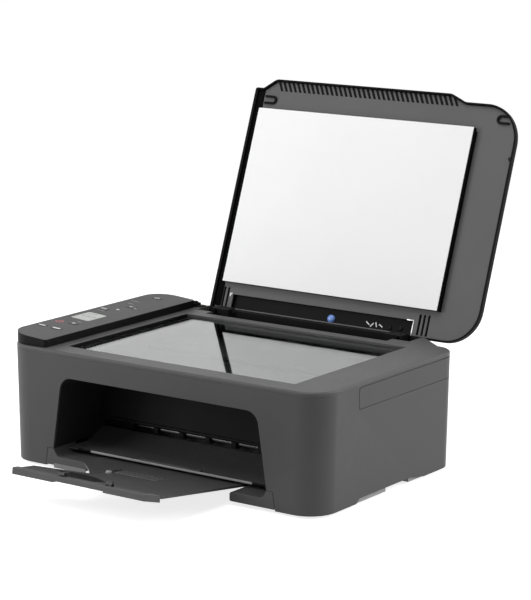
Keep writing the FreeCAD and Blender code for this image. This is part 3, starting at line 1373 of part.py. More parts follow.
def data_socket():
    """Square data socket in the rear wall, reaching in to the main board."""
    rear = REAR_DEPTH + SOCKET_PROUD
    floor = rear - DATA_DEPTH
    body = box(DATA_X, (BOARD_Y[1], rear), DATA_Z)
    hollow_x = (DATA_X[0] + DATA_WALL, DATA_X[1] - DATA_WALL)
    hollow_z = (DATA_Z[0] + DATA_WALL, DATA_Z[1] - DATA_WALL)
    hollow = box(hollow_x, (floor, rear + 1), hollow_z)
    tongue_x = (hollow_x[0] + DATA_TONGUE, hollow_x[1] - DATA_TONGUE)
    tongue_z = (hollow_z[0] + 1, hollow_z[0] + 1 + DATA_TONGUE)
    tongue = box(tongue_x, (floor - 1, rear - 2), tongue_z)
    return joined([body.cut(hollow), tongue])


def pieces():
    """Return every piece by its name."""
    makers = [
        outer_case, right_side_insert, front_sill, bay_liner, cartridge_door, base_pan, rubber_feet,
        tray_slider, output_tray, tray_extension,
        platen_frame, platen_glass, glass_strip, scan_bed, scan_rod, scan_carriage,
        panel_housing, display_window,
        rear_tray, rear_cover, paper_support,
        lid_shell, lid_liner, backing_pad, backing_sheet, hinge_arms, hinge_sockets,
        chassis_frame, chassis_screws, carriage_rod, main_roller, exit_shaft, exit_tyres, pickup_roller,
        main_gear, exit_gear, idler_gear, motor_pinion, feed_motor,
        carriage_motor, drive_pulley, idler_pulley, carriage_belt,
        print_carriage, black_cartridge, color_cartridge, print_platen, maintenance_station,
        main_board, power_supply, data_socket,
    ]
    made = {maker.__name__: maker() for maker in makers}
    made["left_paper_guide"] = paper_guide(-1)
    made["right_paper_guide"] = paper_guide(1)
    for name, centre in KEY_CENTRES.items():
        made[name] = panel_key(centre)
    return made


def main():
    os.makedirs("parts", exist_ok=True)
    for name, shape in pieces().items():
        shape.translate(vec(0, -FRAME_MIDDLE, 0))
        shape.exportStep(f"parts/{name}.step")
        print(name, len(shape.Solids), round(shape.Volume), shape.isValid())


main()
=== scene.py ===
"""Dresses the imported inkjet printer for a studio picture: finishes, fittings, light and camera.

Lengths are written in millimetres and turned into metres where a mesh is made; the studio is in metres.
X runs to the right, Y to the rear and Z up, with the origin under the middle of the opened printer.
A depth is a distance behind the case's front face. An area is left, right, front and rear, or low and high.
"""

from __future__ import annotations

import json
import logging
import math
from dataclasses import dataclass
from enum import Enum

import bmesh
import bpy
from mathutils import Matrix, Vector

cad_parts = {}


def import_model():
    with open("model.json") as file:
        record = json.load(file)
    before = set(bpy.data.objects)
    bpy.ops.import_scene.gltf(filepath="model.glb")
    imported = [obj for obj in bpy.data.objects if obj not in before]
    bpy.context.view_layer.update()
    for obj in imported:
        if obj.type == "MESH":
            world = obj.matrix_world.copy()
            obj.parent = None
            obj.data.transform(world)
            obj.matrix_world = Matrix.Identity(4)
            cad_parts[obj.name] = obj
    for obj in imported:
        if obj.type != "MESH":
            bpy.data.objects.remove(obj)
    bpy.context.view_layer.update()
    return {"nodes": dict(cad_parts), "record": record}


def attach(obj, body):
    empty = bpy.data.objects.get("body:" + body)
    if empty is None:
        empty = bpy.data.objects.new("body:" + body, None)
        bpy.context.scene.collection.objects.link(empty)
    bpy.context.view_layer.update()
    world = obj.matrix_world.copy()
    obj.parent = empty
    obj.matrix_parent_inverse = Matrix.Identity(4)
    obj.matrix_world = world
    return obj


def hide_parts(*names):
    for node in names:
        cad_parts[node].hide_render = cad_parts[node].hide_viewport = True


Mesh = bmesh.types.BMesh
Socket = bpy.types.NodeSocket
Tree = bpy.types.NodeTree
Point = tuple[float, float]
Triple = tuple[float, float, float]
Area = tuple[float, float, float, float]
Outline = list[Point]

LOG = logging.getLogger("printer")
MM = 0.001
METRE = 1.0
FRONT_FACE = -148.8
LID_OPEN = 110.4
LID_AXIS = (147.7, 127.3)
TRAY_TILT = 7.9
TRAY_AXIS = (-96.8, 11.5)
SHARP_ANGLE = 0.6
SINK = 0.1
DUST_SHADE = "B8B4AC"
WHITE = (1.0, 1.0, 1.0, 1.0)


def linear(shade: str, factor: float = 1.0, lift: float = 0.0) -> tuple[float, float, float, float]:
    """Turn a written colour into the shader's own scale.

    Args:
        shade: Six hexadecimal digits, as they would look on a screen.
        factor: How many times as bright it becomes.
        lift: What is then added to each channel.

    Returns:
        Red, green, blue and alpha for a colour socket.
    """
    channels = [int(shade[i : i + 2], 16) / 255 for i in (0, 2, 4)]
    levels = [c / 12.92 if c <= 0.04045 else ((c + 0.055) / 1.055) ** 2.4 for c in channels]
    return (*(level * factor + lift for level in levels), 1.0)


class Graph:
    """A node tree with short calls for adding nodes and joining them."""

    def __init__(self, tree: Tree) -> None:
        """Keep the tree and empty it."""
        self.tree = tree
        self.tree.nodes.clear()

    def node(self, kind: str, values: dict | None = None, **settings: object) -> bpy.types.Node:
        """Add one node.

        Args:
            kind: The node's type name.
            values: Input name or number to a value, or to a socket to join.
            settings: Plain properties of the node.

        Returns:
            The new node.
        """
        node = self.tree.nodes.new(kind)
        for name, value in settings.items():
            setattr(node, name, value)
        for key, value in (values or {}).items():
            if isinstance(value, Socket):
                self.tree.links.new(value, node.inputs[key])
            else:
                node.inputs[key].default_value = value
        return node

    def math(self, operation: str, first: object, second: object) -> Socket:
        """Return the result of a two-input sum."""
        return self.node("ShaderNodeMath", {0: first, 1: second}, operation=operation).outputs[0]

    def mix(self, factor: object, first: object, second: object) -> Socket:
        """Return a blend of two colours, which are the node's sockets 6 and 7."""
        return self.node("ShaderNodeMix", {0: factor, 6: first, 7: second}, data_type="RGBA").outputs[2]

    def blend(self, factor: object, first: Socket, second: Socket) -> Socket:
        """Return a blend of two shaders."""
        return self.node("ShaderNodeMixShader", {0: factor, 1: first, 2: second}).outputs[0]

    def spread(self, value: Socket, low: float, high: float, start: float = 0.0, end: float = 1.0) -> Socket:
        """Return a value moved from the span low to high to the span start to end."""
        return self.node("ShaderNodeMapRange", {0: value, 1: low, 2: high, 3: start, 4: end}).outputs[0]

    def place(self) -> Socket:
        """Return the object's own coordinates."""
        return self.node("ShaderNodeTexCoord").outputs["Object"]

    def stretched(self, scale: Triple) -> Socket:
        """Return the object's own coordinates, scaled along each axis."""
        return self.node("ShaderNodeMapping", {"Vector": self.place(), "Scale": scale}).outputs[0]

    def noise(self, place: Socket, scale: object, detail: float, **more: float) -> Socket:
        """Return noise over a set of coordinates."""
        values = {"Vector": place, "Scale": scale, "Detail": detail, **more}
        return self.node("ShaderNodeTexNoise", values).outputs["Fac"]

    def bump(self, height: Socket, strength: float, distance: float) -> Socket:
        """Return the surface's normal, disturbed by a height."""
        values = {"Height": height, "Strength": strength, "Distance": distance}
        return self.node("ShaderNodeBump", values).outputs[0]

    def group(self, tree: Tree, value: float) -> bpy.types.NodeOutputs:
        """Add a shared group, set its one input and return its outputs."""
        return self.node("ShaderNodeGroup", {0: value}, node_tree=tree).outputs


class Effects:
    """Shader groups that several finishes share, each built once."""

    pit_scale: float = 0.6
    pit_share: float = 0.5
    slow_share: float = 0.7
    fine_share: float = 0.3
    streak: Triple = (1.0, 0.25, 1.0)

    def __init__(self) -> None:
        """Build every group."""
        self.grain = self._grain()
        self.edges = self._edges()
        self.dust = self._dust()
        self.smears = self._smears()

    def _group(self, name: str, control: str, *outputs: str) -> tuple[Graph, Socket]:
        """Start a group with one float input.

        Args:
            name: The group's name.
            control: Name of its input.
            outputs: Names of its float outputs.

        Returns:
            A graph for filling the group, and the input to read in it.
        """
        tree = bpy.data.node_groups.new(name, "ShaderNodeTree")
        tree.interface.new_socket(control, in_out="INPUT", socket_type="NodeSocketFloat")
        for output in outputs:
            tree.interface.new_socket(output, in_out="OUTPUT", socket_type="NodeSocketFloat")
        graph = Graph(tree)
        return graph, graph.node("NodeGroupInput").outputs[control]

    def _grain(self) -> Tree:
        """Build the sparked texture of a mould, with slow drifts of tone.

        Returns:
            The group.
        """
        graph, scale = self._group("mould_grain", "Scale", "Height", "Mottle")
        place = graph.place()
        fine = graph.noise(place, scale, detail=3.0, Roughness=0.6)
        coarse = graph.math("MULTIPLY", scale, self.pit_scale)
        pits = graph.node("ShaderNodeTexVoronoi", {"Vector": place, "Scale": coarse}).outputs["Distance"]
        height = graph.math("ADD", fine, graph.math("MULTIPLY", pits, self.pit_share))
        slow = graph.math("MULTIPLY", graph.noise(place, scale=14.0, detail=4.0), self.slow_share)
        mottle = graph.math("ADD", slow, graph.math("MULTIPLY", fine, self.fine_share))
        graph.node("NodeGroupOutput", {"Height": height, "Mottle": mottle})
        return graph.tree

    def _edges(self) -> Tree:
        """Build a mask of the outer edges, where handling polishes the surface.

        Returns:
            The group.
        """
        graph, amount = self._group("rubbed_edges", "Amount", "Mask")
        pointed = graph.node("ShaderNodeNewGeometry").outputs["Pointiness"]
        sharp = graph.spread(pointed, low=0.52, high=0.62)
        broken = graph.noise(graph.place(), scale=60.0, detail=5.0)
        worn = graph.math("MULTIPLY", sharp, graph.spread(broken, low=0.3, high=0.65, start=0.4))
        graph.node("NodeGroupOutput", {"Mask": graph.math("MULTIPLY", worn, amount)})
        return graph.tree

    def _dust(self) -> Tree:
        """Build a mask of faint dust on whatever faces up.

        Returns:
            The group.
        """
        graph, amount = self._group("settled_dust", "Amount", "Mask")
        normal = graph.node("ShaderNodeNewGeometry").outputs["Normal"]
        facing = graph.node("ShaderNodeSeparateXYZ", {0: normal}).outputs["Z"]
        level = graph.spread(facing, low=0.5, high=1.0)
        specks = graph.noise(graph.place(), scale=320.0, detail=6.0)
        settled = graph.math("MULTIPLY", level, graph.spread(specks, low=0.5, high=0.75))
        graph.node("NodeGroupOutput", {"Mask": graph.math("MULTIPLY", settled, amount)})
        return graph.tree

    def _smears(self) -> Tree:
        """Build soft wiped streaks for shiny surfaces.

        Returns:
            The group.
        """
        graph, scale = self._group("wiped_streaks", "Scale", "Mask")
        streaks = graph.noise(graph.stretched(self.streak), scale, detail=5.0, Distortion=0.6)
        graph.node("NodeGroupOutput", {"Mask": graph.spread(streaks, low=0.35, high=0.7)})
        return graph.tree


def new_material(name: str) -> tuple[bpy.types.Material, Graph]:
    """Return an empty node material and a graph for filling it.

    Args:
        name: The material's name.

    Returns:
        The material and its graph.
    """
    material = bpy.data.materials.new(name)
    material.use_nodes = True
    return material, Graph(material.node_tree)


@dataclass(frozen=True)
class Coating:
    """What every finish has: a name, a colour and a way to become a material."""

    name: str
    shade: str

    def values(self, graph: Graph, effects: Effects) -> dict[str, object]:
        """Return the shader's inputs, which each finish gives in its own way."""
        raise NotImplementedError

    def make(self, effects: Effects) -> bpy.types.Material:
        """Make the finish as a material.

        Args:
            effects: The shared shader groups.

        Returns:
            The new material.
        """
        material, graph = new_material(self.name)
        shader = graph.node("ShaderNodeBsdfPrincipled", self.values(graph, effects))
        graph.node("ShaderNodeOutputMaterial", {"Surface": shader.outputs[0]})
        return material


@dataclass(frozen=True)
class Plastic(Coating):
    """A moulded plastic, rubber or paint: its colour, gloss and mould texture."""

    roughness: float
    grain: float = 1500.0
    depth: float = 0.06
    mottle: float = 0.07
    edge: float = 0.22
    dust: float = 0.05
    specular: float = 0.45
    coat: float = 0.0
    coat_roughness: float = 0.12
    grain_height: float = 0.0004
    gloss_drift: float = 0.05
    rubbed: Point = (1.6, 0.02)

    def values(self, graph: Graph, effects: Effects) -> dict[str, object]:
        """Return the shader's inputs.

        Args:
            graph: The material's graph.
            effects: The shared shader groups.

        Returns:
            Input name to a value or a socket.
        """
        grain = graph.group(effects.grain, self.grain)
        edge = graph.group(effects.edges, self.edge)["Mask"]
        dust = graph.group(effects.dust, self.dust)["Mask"]
        dark, light = linear(self.shade, 1 - self.mottle), linear(self.shade, 1 + self.mottle)
        tone = graph.mix(graph.spread(grain["Mottle"], low=0.35, high=0.65), dark, light)
        tone = graph.mix(edge, tone, linear(self.shade, *self.rubbed))
        smooth, rough = self.roughness - self.gloss_drift, self.roughness + self.gloss_drift
        return {
            "Base Color": graph.mix(dust, tone, linear(DUST_SHADE)),
            "Roughness": graph.spread(grain["Mottle"], low=0.3, high=0.7, start=smooth, end=rough),
            "Normal": graph.bump(grain["Height"], self.depth, self.grain_height),
            "Specular IOR Level": self.specular,
            "Coat Weight": self.coat,
            "Coat Roughness": self.coat_roughness,
        }


@dataclass(frozen=True)
class Metal(Coating):
    """A plated or drawn metal with fine lines along one way."""

    roughness: float
    lines: Triple = (30.0, 900.0, 900.0)
    contrast: Point = (0.85, 1.1)
    line_depth: Point = (0.08, 0.0002)
    smear: float = 40.0
    smear_roughness: float = 0.12

    def values(self, graph: Graph, effects: Effects) -> dict[str, object]:
        """Return the shader's inputs.

        Args:
            graph: The material's graph.
            effects: The shared shader groups.

        Returns:
            Input name to a value or a socket.
        """
        lines = graph.noise(graph.stretched(self.lines), scale=1.0, detail=3.0)
        smear = graph.group(effects.smears, self.smear)["Mask"]
        dark, light = (linear(self.shade, factor) for factor in self.contrast)
        return {
            "Base Color": graph.mix(lines, dark, light),
            "Roughness": graph.spread(smear, 0.0, 1.0, self.roughness, self.roughness + self.smear_roughness),
            "Normal": graph.bump(lines, *self.line_depth),
            "Metallic": 1.0,
        }


@dataclass(frozen=True)
class Glass(Coating):
    """Clear flat glass with the faintest wiped film."""

    film: Point = (0.012, 0.04)
    smear: float = 22.0
    bending: float = 1.5

    def values(self, graph: Graph, effects: Effects) -> dict[str, object]:
        """Return the shader's inputs."""
        smear = graph.group(effects.smears, self.smear)["Mask"]
        return {
            "Base Color": linear(self.shade),
            "Roughness": graph.spread(smear, 0.0, 1.0, *self.film),
            "IOR": self.bending,
            "Transmission Weight": 1.0,
        }


@dataclass(frozen=True)
class Ink(Coating):
    """A printed mark, a lens or a display's segment, thin and flat."""

    roughness: float = 0.4
    smear: float = 300.0
    thin: float = 0.9

    def values(self, graph: Graph, effects: Effects) -> dict[str, object]:
        """Return the shader's inputs."""
        smear = graph.group(effects.smears, self.smear)["Mask"]
        return {
            "Base Color": graph.mix(smear, linear(self.shade, self.thin), linear(self.shade)),
            "Roughness": self.roughness,
        }


class Finish(Enum):
    """Every finish on the printer."""

    CASE = Plastic("case_plastic", "404040", 0.5, specular=0.25)
    BEZEL = Plastic("bezel_plastic", "444444", 0.48, specular=0.28)
    LINER = Plastic("liner_plastic", "565656", 0.55, depth=0.04, specular=0.3)
    RIM = Plastic("rim_plastic", "0B0B0B", 0.5, edge=0.06, specular=0.06)
    # Painted shadow: near-black sheets on the tray and its flap where shade falls behind the front bar.
    INNER = Plastic("painted_shadow_plastic", "131313", 0.5, edge=0.06, specular=0.1)
    WALL = Plastic("wall_plastic", "262626", 0.5, edge=0.06, specular=0.12)
    DEEP = Plastic("engine_plastic", "0E0E0E", 0.55, edge=0.06, specular=0.1)
    TRAY = Plastic("tray_plastic", "383838", 0.48, specular=0.25)
    # Painted light: a pale grey that stands for highlights and reflected floor light on the bay floor's front
    # edge, the flap's detent and the base pan in the grip notch.
    PAINTED_LIGHT = Plastic("painted_light", "8A8A8A", 0.5, specular=0.3)
    # Painted shade: the mid grey of the floor lying in the printer's shadow, seen under the sill's left stub.
    PAINTED_FLOOR_SHADE = Plastic("painted_floor_shade", "6C6C6C", 0.5, specular=0.25)
    # The first of these two is painted shade: the housing is near-black for its shaded walls. The second is
    # painted light: a lighter copy of the housing's top faces.
    PANEL = Plastic("panel_painted_shade", "0D0D0D", 0.5, depth=0.04, edge=0.06, specular=0.08)
    PANEL_LIT_TOP = Plastic("panel_lit_top", "383838", 0.5, depth=0.03, specular=0.2)
    KEY = Plastic("key_plastic", "303030", 0.45, depth=0.03, specular=0.25)
    WINDOW = Plastic("window_plastic", "9A9C98", 0.3, depth=0.0, mottle=0.02, coat=0.2)
    SHEET = Plastic("sheet_film", "F1F1F1", 0.5, depth=0.01, mottle=0.012, edge=0.0, dust=0.0, specular=0.2)
    FOAM = Plastic("pad_foam", "090909", 0.85, grain=900.0, depth=0.5, edge=0.05, specular=0.04)
    RUBBER = Plastic("rubber", "121212", 0.7, grain=700.0, depth=0.2, specular=0.25)
    GEAR = Plastic("gear_acetal", "D8D6CC", 0.4, depth=0.02)
    BOARD = Plastic("board_mask", "1E5A34", 0.35, grain=400.0, depth=0.15)
    STEEL = Metal("plated_steel", "B8B8BA", 0.28)
    SHAFT = Metal("ground_shaft", "6E6E70", 0.28)
    DARK_STEEL = Metal("blackened_steel", "1C1C1E", 0.45)
    GLASS = Glass("platen_glass", "F2F6F4")
    MARK = Ink("white_print", "D8D8D8")
    FAINT_MARK = Ink("grey_print", "8C8C8C")
    RED_MARK = Ink("red_print", "8A3A44")
    BLUE_DOT = Ink("blue_dot", "6F93D8", 0.25)
    SEGMENT = Ink("display_segment", "70736E")


class Palette:
    """Hands out the material of each finish, made on first use."""

    def __init__(self) -> None:
        """Build the shared groups."""
        self.effects = Effects()
        self.made: dict[Finish, bpy.types.Material] = {}

    def of(self, finish: Finish) -> bpy.types.Material:
        """Find or make the material of a finish.

        Args:
            finish: The finish.

        Returns:
            Its material.
        """
        if finish not in self.made:
            self.made[finish] = finish.value.make(self.effects)
        return self.made[finish]


def row(depth: float) -> float:
    """Return Y for a distance behind the case's front face."""
    return FRONT_FACE + depth


def thickened(mesh: Mesh, height: float) -> Mesh:
    """Give the faces of a flat mesh a thickness along Z.

    Args:
        mesh: The flat mesh.
        height: The thickness in the mesh's own unit.

    Returns:
        The same mesh, closed.
    """
    raised = bmesh.ops.extrude_face_region(mesh, geom=list(mesh.faces))
    lifted = [part for part in raised["geom"] if isinstance(part, bmesh.types.BMVert)]
    bmesh.ops.translate(mesh, verts=lifted, vec=(0, 0, height))
    bmesh.ops.recalc_face_normals(mesh, faces=mesh.faces)
    return mesh


def rounded_off(mesh: Mesh, edges: list[bmesh.types.BMEdge], width: float, steps: int) -> None:
    """Round off some edges of a mesh."""
    bmesh.ops.bevel(mesh, geom=edges, offset=width, segments=steps, profile=0.5, affect="EDGES")


def outline_prism(outline: Outline, low: float, high: float, round_edge: float = 0.0) -> Mesh:
    """Raise a flat outline into a prism.

    Args:
        outline: Corners in order round the shape.
        low: Height of the lower face.
        high: Height of the upper face.
        round_edge: Width of the rounding along every edge.

    Returns:
        A closed mesh.
    """
    mesh = bmesh.new()
    mesh.faces.new([mesh.verts.new((x, y, low)) for x, y in outline])
    thickened(mesh, high - low)
    if round_edge:
        sharp = [edge for edge in mesh.edges if edge.calc_face_angle(0.0) > SHARP_ANGLE]
        rounded_off(mesh, sharp, round_edge, steps=2)
    return mesh


def turned(profile: tuple[Point, ...], steps: int = 24) -> Mesh:
    """Spin a profile about Z.

    Args:
        profile: Points of radius and height, from bottom to top.
        steps: Number of sides.

    Returns:
        A closed mesh.
    """
    mesh = bmesh.new()
    angles = [2 * math.pi * step / steps for step in range(steps)]
    rings = []
    for radius, height in profile:
        rings.append([mesh.verts.new((radius * math.cos(a), radius * math.sin(a), height)) for a in angles])
    for lower, upper in zip(rings, rings[1:]):
        for step in range(steps):
            after = (step + 1) % steps
            mesh.faces.new((lower[step], lower[after], upper[after], upper[step]))
    mesh.faces.new(list(reversed(rings[0])))
    mesh.faces.new(rings[-1])
    bmesh.ops.recalc_face_normals(mesh, faces=mesh.faces)
    return mesh


def ring(centre: Point, radii: Point, span: Point = (0.0, 360.0), steps: int = 28) -> list[Outline]:
    """Return a flat arc as quads that follow each other.

    Args:
        centre: Middle of the arc.
        radii: Outer and inner radius.
        span: First and last angle in degrees.
        steps: Number of quads.

    Returns:
        One outline for each quad.
    """
    (x, y), (outer, inner), (start, end) = centre, radii, span
    angles = [math.radians(start + (end - start) * step / steps) for step in range(steps + 1)]
    quads = []
    for first, second in zip(angles, angles[1:]):
        corners = [(inner, first), (outer, first), (outer, second), (inner, second)]
        quads.append([(x + far * math.cos(turn), y + far * math.sin(turn)) for far, turn in corners])
    return quads


def quad(left: float, right: float, low: float, high: float) -> Outline:
    """Return the corners of an area."""
    return [(left, low), (right, low), (right, high), (left, high)]


def bar(centre: Point, size: Point) -> Outline:
    """Return the corners of an upright rectangle."""
    (x, y), (wide, tall) = centre, size
    return quad(x - wide / 2, x + wide / 2, y - tall / 2, y + tall / 2)


def bars(*places: Area) -> list[Outline]:
    """Return upright rectangles, each given by the X and depth of its middle, its width and its height."""
    return [bar((x, row(depth)), (wide, tall)) for x, depth, wide, tall in places]


def pill(centre: Point, size: Point, radius: float, steps: int = 6) -> Outline:
    """Return a rectangle's outline with rounded corners.

    Args:
        centre: Its middle.
        size: Its width and height.
        radius: Radius of its corners.
        steps: Number of sides to each corner.

    Returns:
        Its corners in order.
    """
    (x, y), (wide, tall) = centre, size
    corners = []
    for side, end, turn in ((1, 1, 0), (-1, 1, 90), (-1, -1, 180), (1, -1, 270)):
        cx, cy = x + side * (wide / 2 - radius), y + end * (tall / 2 - radius)
        for step in range(steps + 1):
            angle = math.radians(turn + 90 * step / steps)
            corners.append((cx + radius * math.cos(angle), cy + radius * math.sin(angle)))
    return corners


def rounded(area: Area, radius: float, steps: int = 6) -> Outline:
    """Return the outline of an area with rounded corners."""
    left, right, low, high = area
    return pill(((left + right) / 2, (low + high) / 2), (right - left, high - low), radius, steps)


def plan(area: Area, radius: float, steps: int = 6) -> Outline:
    """Return the outline of an area seen from above, with its front and rear as depths."""
    left, right, front, rear = area
    return rounded((left, right, row(front), row(rear)), radius, steps)


def joined(meshes: list[Mesh]) -> Mesh:
    """Put several meshes into the first of them.

    Args:
        meshes: The meshes, of which all but the first are used up.

    Returns:
        The first mesh.
    """
    first = meshes[0]
    for other in meshes[1:]:
        data = bpy.data.meshes.new("part")
        other.to_mesh(data)
        first.from_mesh(data)
        bpy.data.meshes.remove(data)
        other.free()
    return first


def moved(mesh: Mesh, place: Matrix) -> Mesh:
    """Move a mesh and return it."""
    bmesh.ops.transform(mesh, matrix=place, verts=mesh.verts)
    return mesh


def across(side: Outline, left: float, right: float) -> Mesh:
    """Run a side view, given as Y and Z, along X from left to right."""
    turn = Matrix(((0, 0, 1, 0), (1, 0, 0, 0), (0, 1, 0, 0), (0, 0, 0, 1)))
    return moved(outline_prism(side, left, right), turn)


def about(axis: Point, degrees: float) -> Matrix:
    """Return a turn about a line along X, given by its Y and Z."""
    pivot = Matrix.Translation((0.0, *axis))
    return pivot @ Matrix.Rotation(math.radians(degrees), 4, "X") @ pivot.inverted()


LID_SWING = about(LID_AXIS, -LID_OPEN)
TRAY_SLOPE = about(TRAY_AXIS, -TRAY_TILT)


@dataclass
class Workshop:
    """Turns meshes into named pieces that ride on the frame's bodies."""

    palette: Palette
    nodes: dict[str, bpy.types.Object]
    bodies: dict[str, str]
    smooth_angle: float = 32.0
    flat_angle: float = 0.05
    weld: float = 0.002
    growth: float = 0.05
    crowned: str = "lid_shell"
    crown_top: float = 150.95
    crown_radius: float = 6.0

    def piece(
        self, name: str, mesh: Mesh, body: str, finish: Finish, slot: str, unit: float = MM
    ) -> bpy.types.Object:
        """Make a piece from a mesh.

        Args:
            name: The piece's name.
            mesh: Its shape in the frame's axes.
            body: The body it moves with.
            finish: Its finish.
            slot: The record's material slot; not used.
            unit: Length of the mesh's unit in metres.

        Returns:
            The new object.
        """
        moved(mesh, Matrix.Scale(unit, 4))
        data = bpy.data.meshes.new(name)
        mesh.to_mesh(data)
        mesh.free()
        data.shade_smooth()
        data.set_sharp_from_angle(angle=math.radians(self.smooth_angle))
        data.materials.append(self.palette.of(finish))
        piece = bpy.data.objects.new(name, data)
        bpy.context.scene.collection.objects.link(piece)
        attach(piece, body)
        LOG.info("%s rides on %s", name, body)
        return piece

    def dressed(self, node: str, finish: Finish) -> None:
        """Give a node of the frame its finish and keep its own shape.

        Args:
            node: The node's name.
            finish: Its finish.
        """
        target = self.nodes[node].data
        target.materials.clear()
        target.materials.append(self.palette.of(finish))
        LOG.info("%s keeps its shape", node)

    def softened(self, node: str, finish: Finish, slot: str, width: float) -> None:
        """Replace a node by the same shape with its edges broken, as a mould leaves them.

        Args:
            node: The node's name.
            finish: The finish of the new piece.
            slot: The record's material slot.
            width: Width of the broken edge.
        """
        mesh = bmesh.new()
        mesh.from_mesh(self.nodes[node].data)
        bmesh.ops.remove_doubles(mesh, verts=mesh.verts, dist=self.weld * MM)
        limit = math.radians(self.flat_angle)
        bmesh.ops.dissolve_limit(mesh, angle_limit=limit, verts=mesh.verts, edges=mesh.edges)
        if node == self.crowned:
            self._crown(mesh)
        piece = self.piece(f"{node}_moulded", mesh, self.bodies[node], finish, slot, METRE)
        edge = piece.modifiers.new("broken_edge", "BEVEL")
        edge.width = width * MM
        edge.segments = 2
        edge.limit_method = "ANGLE"
        edge.angle_limit = math.radians(self.smooth_angle)
        edge.use_clamp_overlap = self._outgrows(piece, node)
        edge.harden_normals = True
        even = piece.modifiers.new("even_normals", "WEIGHTED_NORMAL")
        even.keep_sharp = True
        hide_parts(node)

    def _crown(self, mesh: Mesh) -> None:
        """Round the rim of the lid's top, which the mesh holds swung open.

        Args:
            mesh: The lid's shell in metres.
        """
        shut = LID_SWING.inverted()
        top = {vert for vert in mesh.verts if (shut @ (vert.co / MM)).z > self.crown_top}
        level = [edge for edge in mesh.edges if top.issuperset(edge.verts)]
        rim = [edge for edge in level if edge.calc_face_angle(0.0) > SHARP_ANGLE]
        rounded_off(mesh, rim, self.crown_radius * MM, steps=5)

    def _outgrows(self, piece: bpy.types.Object, node: str) -> bool:
        """Tell whether unclamped broken edges push a piece out of its node's box.

        Args:
            piece: The piece with its broken edges.
            node: The node that it replaces.

        Returns:
            True where the piece is wider than the node along any axis.
        """
        piece.modifiers[0].use_clamp_overlap = False
        grown = piece.evaluated_get(bpy.context.evaluated_depsgraph_get())
        spans = []
        for item in (grown, self.nodes[node]):
            corners = [item.matrix_world @ Vector(corner) for corner in item.bound_box]
            spans.append([max(along) - min(along) for along in zip(*corners)])
        return any(wide > limit + self.growth * MM for wide, limit in zip(*spans))


@dataclass
class Shell:
    """The case, the scanner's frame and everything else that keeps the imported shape."""

    shop: Workshop
    moulded: tuple[tuple[str, Finish, float], ...] = (
        ("outer_case", Finish.CASE, 0.5),
        ("right_side_insert", Finish.CASE, 0.3),
        ("front_sill rear_cover", Finish.CASE, 0.4),
        ("bay_liner", Finish.WALL, 0.4),
        ("cartridge_door rear_tray paper_support hinge_arms hinge_sockets", Finish.DEEP, 0.4),
        ("left_paper_guide right_paper_guide", Finish.DEEP, 0.3),
        ("platen_frame", Finish.BEZEL, 0.4),
        # The housing's near-black finish is painted shade for its walls.
        ("panel_housing", Finish.PANEL, 0.5),
        ("lid_shell", Finish.RIM, 0.5),
        ("lid_liner", Finish.LINER, 0.2),
        ("backing_pad", Finish.FOAM, 0.4),
        ("backing_sheet", Finish.SHEET, 0.2),
        ("black_start_key color_start_key stop_key copies_key wireless_key power_key", Finish.KEY, 0.3),
    )
    plain: tuple[tuple[str, Finish], ...] = (
        # The base pan's pale finish is painted light: the floor's light reflected into the grip notch.
        ("base_pan", Finish.PAINTED_LIGHT),
        ("scan_rod", Finish.DARK_STEEL),
        ("exit_shaft", Finish.SHAFT),
        ("print_platen maintenance_station output_tray tray_extension", Finish.TRAY),
    )
    by_slot: tuple[tuple[str, Finish], ...] = (
        ("case", Finish.CASE),
        ("inner cartridge_black", Finish.DEEP),
        ("cartridge_color", Finish.KEY),
        ("display", Finish.WINDOW),
        ("glass", Finish.GLASS),
        ("rubber", Finish.RUBBER),
        ("steel", Finish.STEEL),
        ("gear", Finish.GEAR),
        ("board", Finish.BOARD),
    )

    @staticmethod
    def listed(rows: tuple[tuple, ...]) -> dict[str, list]:
        """Return each name in the rows' first cells with the rest of its row."""
        return {name: rest for names, *rest in rows for name in names.split()}

    def build(self, slots: dict[str, str]) -> None:
        """Dress every node of the frame.

        Args:
            slots: Node name to the record's material slot.
        """
        moulded, plain, by_slot = (self.listed(rows) for rows in (self.moulded, self.plain, self.by_slot))
        for node, slot in slots.items():
            if node in moulded:
                finish, width = moulded[node]
                self.shop.softened(node, finish, slot, width)
            else:
                (finish,) = plain.get(node) or by_slot[slot]
                self.shop.dressed(node, finish)


@dataclass(frozen=True)
class ScrewHead:
    """A domed screw head with a raised rim and a cross in it, in shares of its radius and height."""

    radius: float = 3.2
    height: float = 1.6
    dome: tuple[Point, ...] = ((1.0, 0.0), (1.0, 0.35), (0.86, 0.75), (0.6, 0.95), (0.56, 0.8))
    arm: Point = (0.2, 0.46)
    arm_levels: Point = (0.78, 0.92)
    arm_shift: float = 0.36
    arm_turns: Point = (45.0, 135.0)

    def mesh(self) -> Mesh:
        """Build the head.

        Returns:
            A mesh standing on Z zero.
        """
        meshes = [turned(tuple((self.radius * share, self.height * level) for share, level in self.dome))]
        wide, tall = (self.radius * share for share in self.arm)
        low, high = (self.height * level for level in self.arm_levels)
        for turn in self.arm_turns:
            spin = Matrix.Rotation(math.radians(turn), 4, "Z")
            for shift in (-self.arm_shift, self.arm_shift):
                wedge = outline_prism(bar((shift * self.radius, 0.0), (wide, tall)), low, high)
                meshes.append(moved(wedge, spin))
        return joined(meshes)


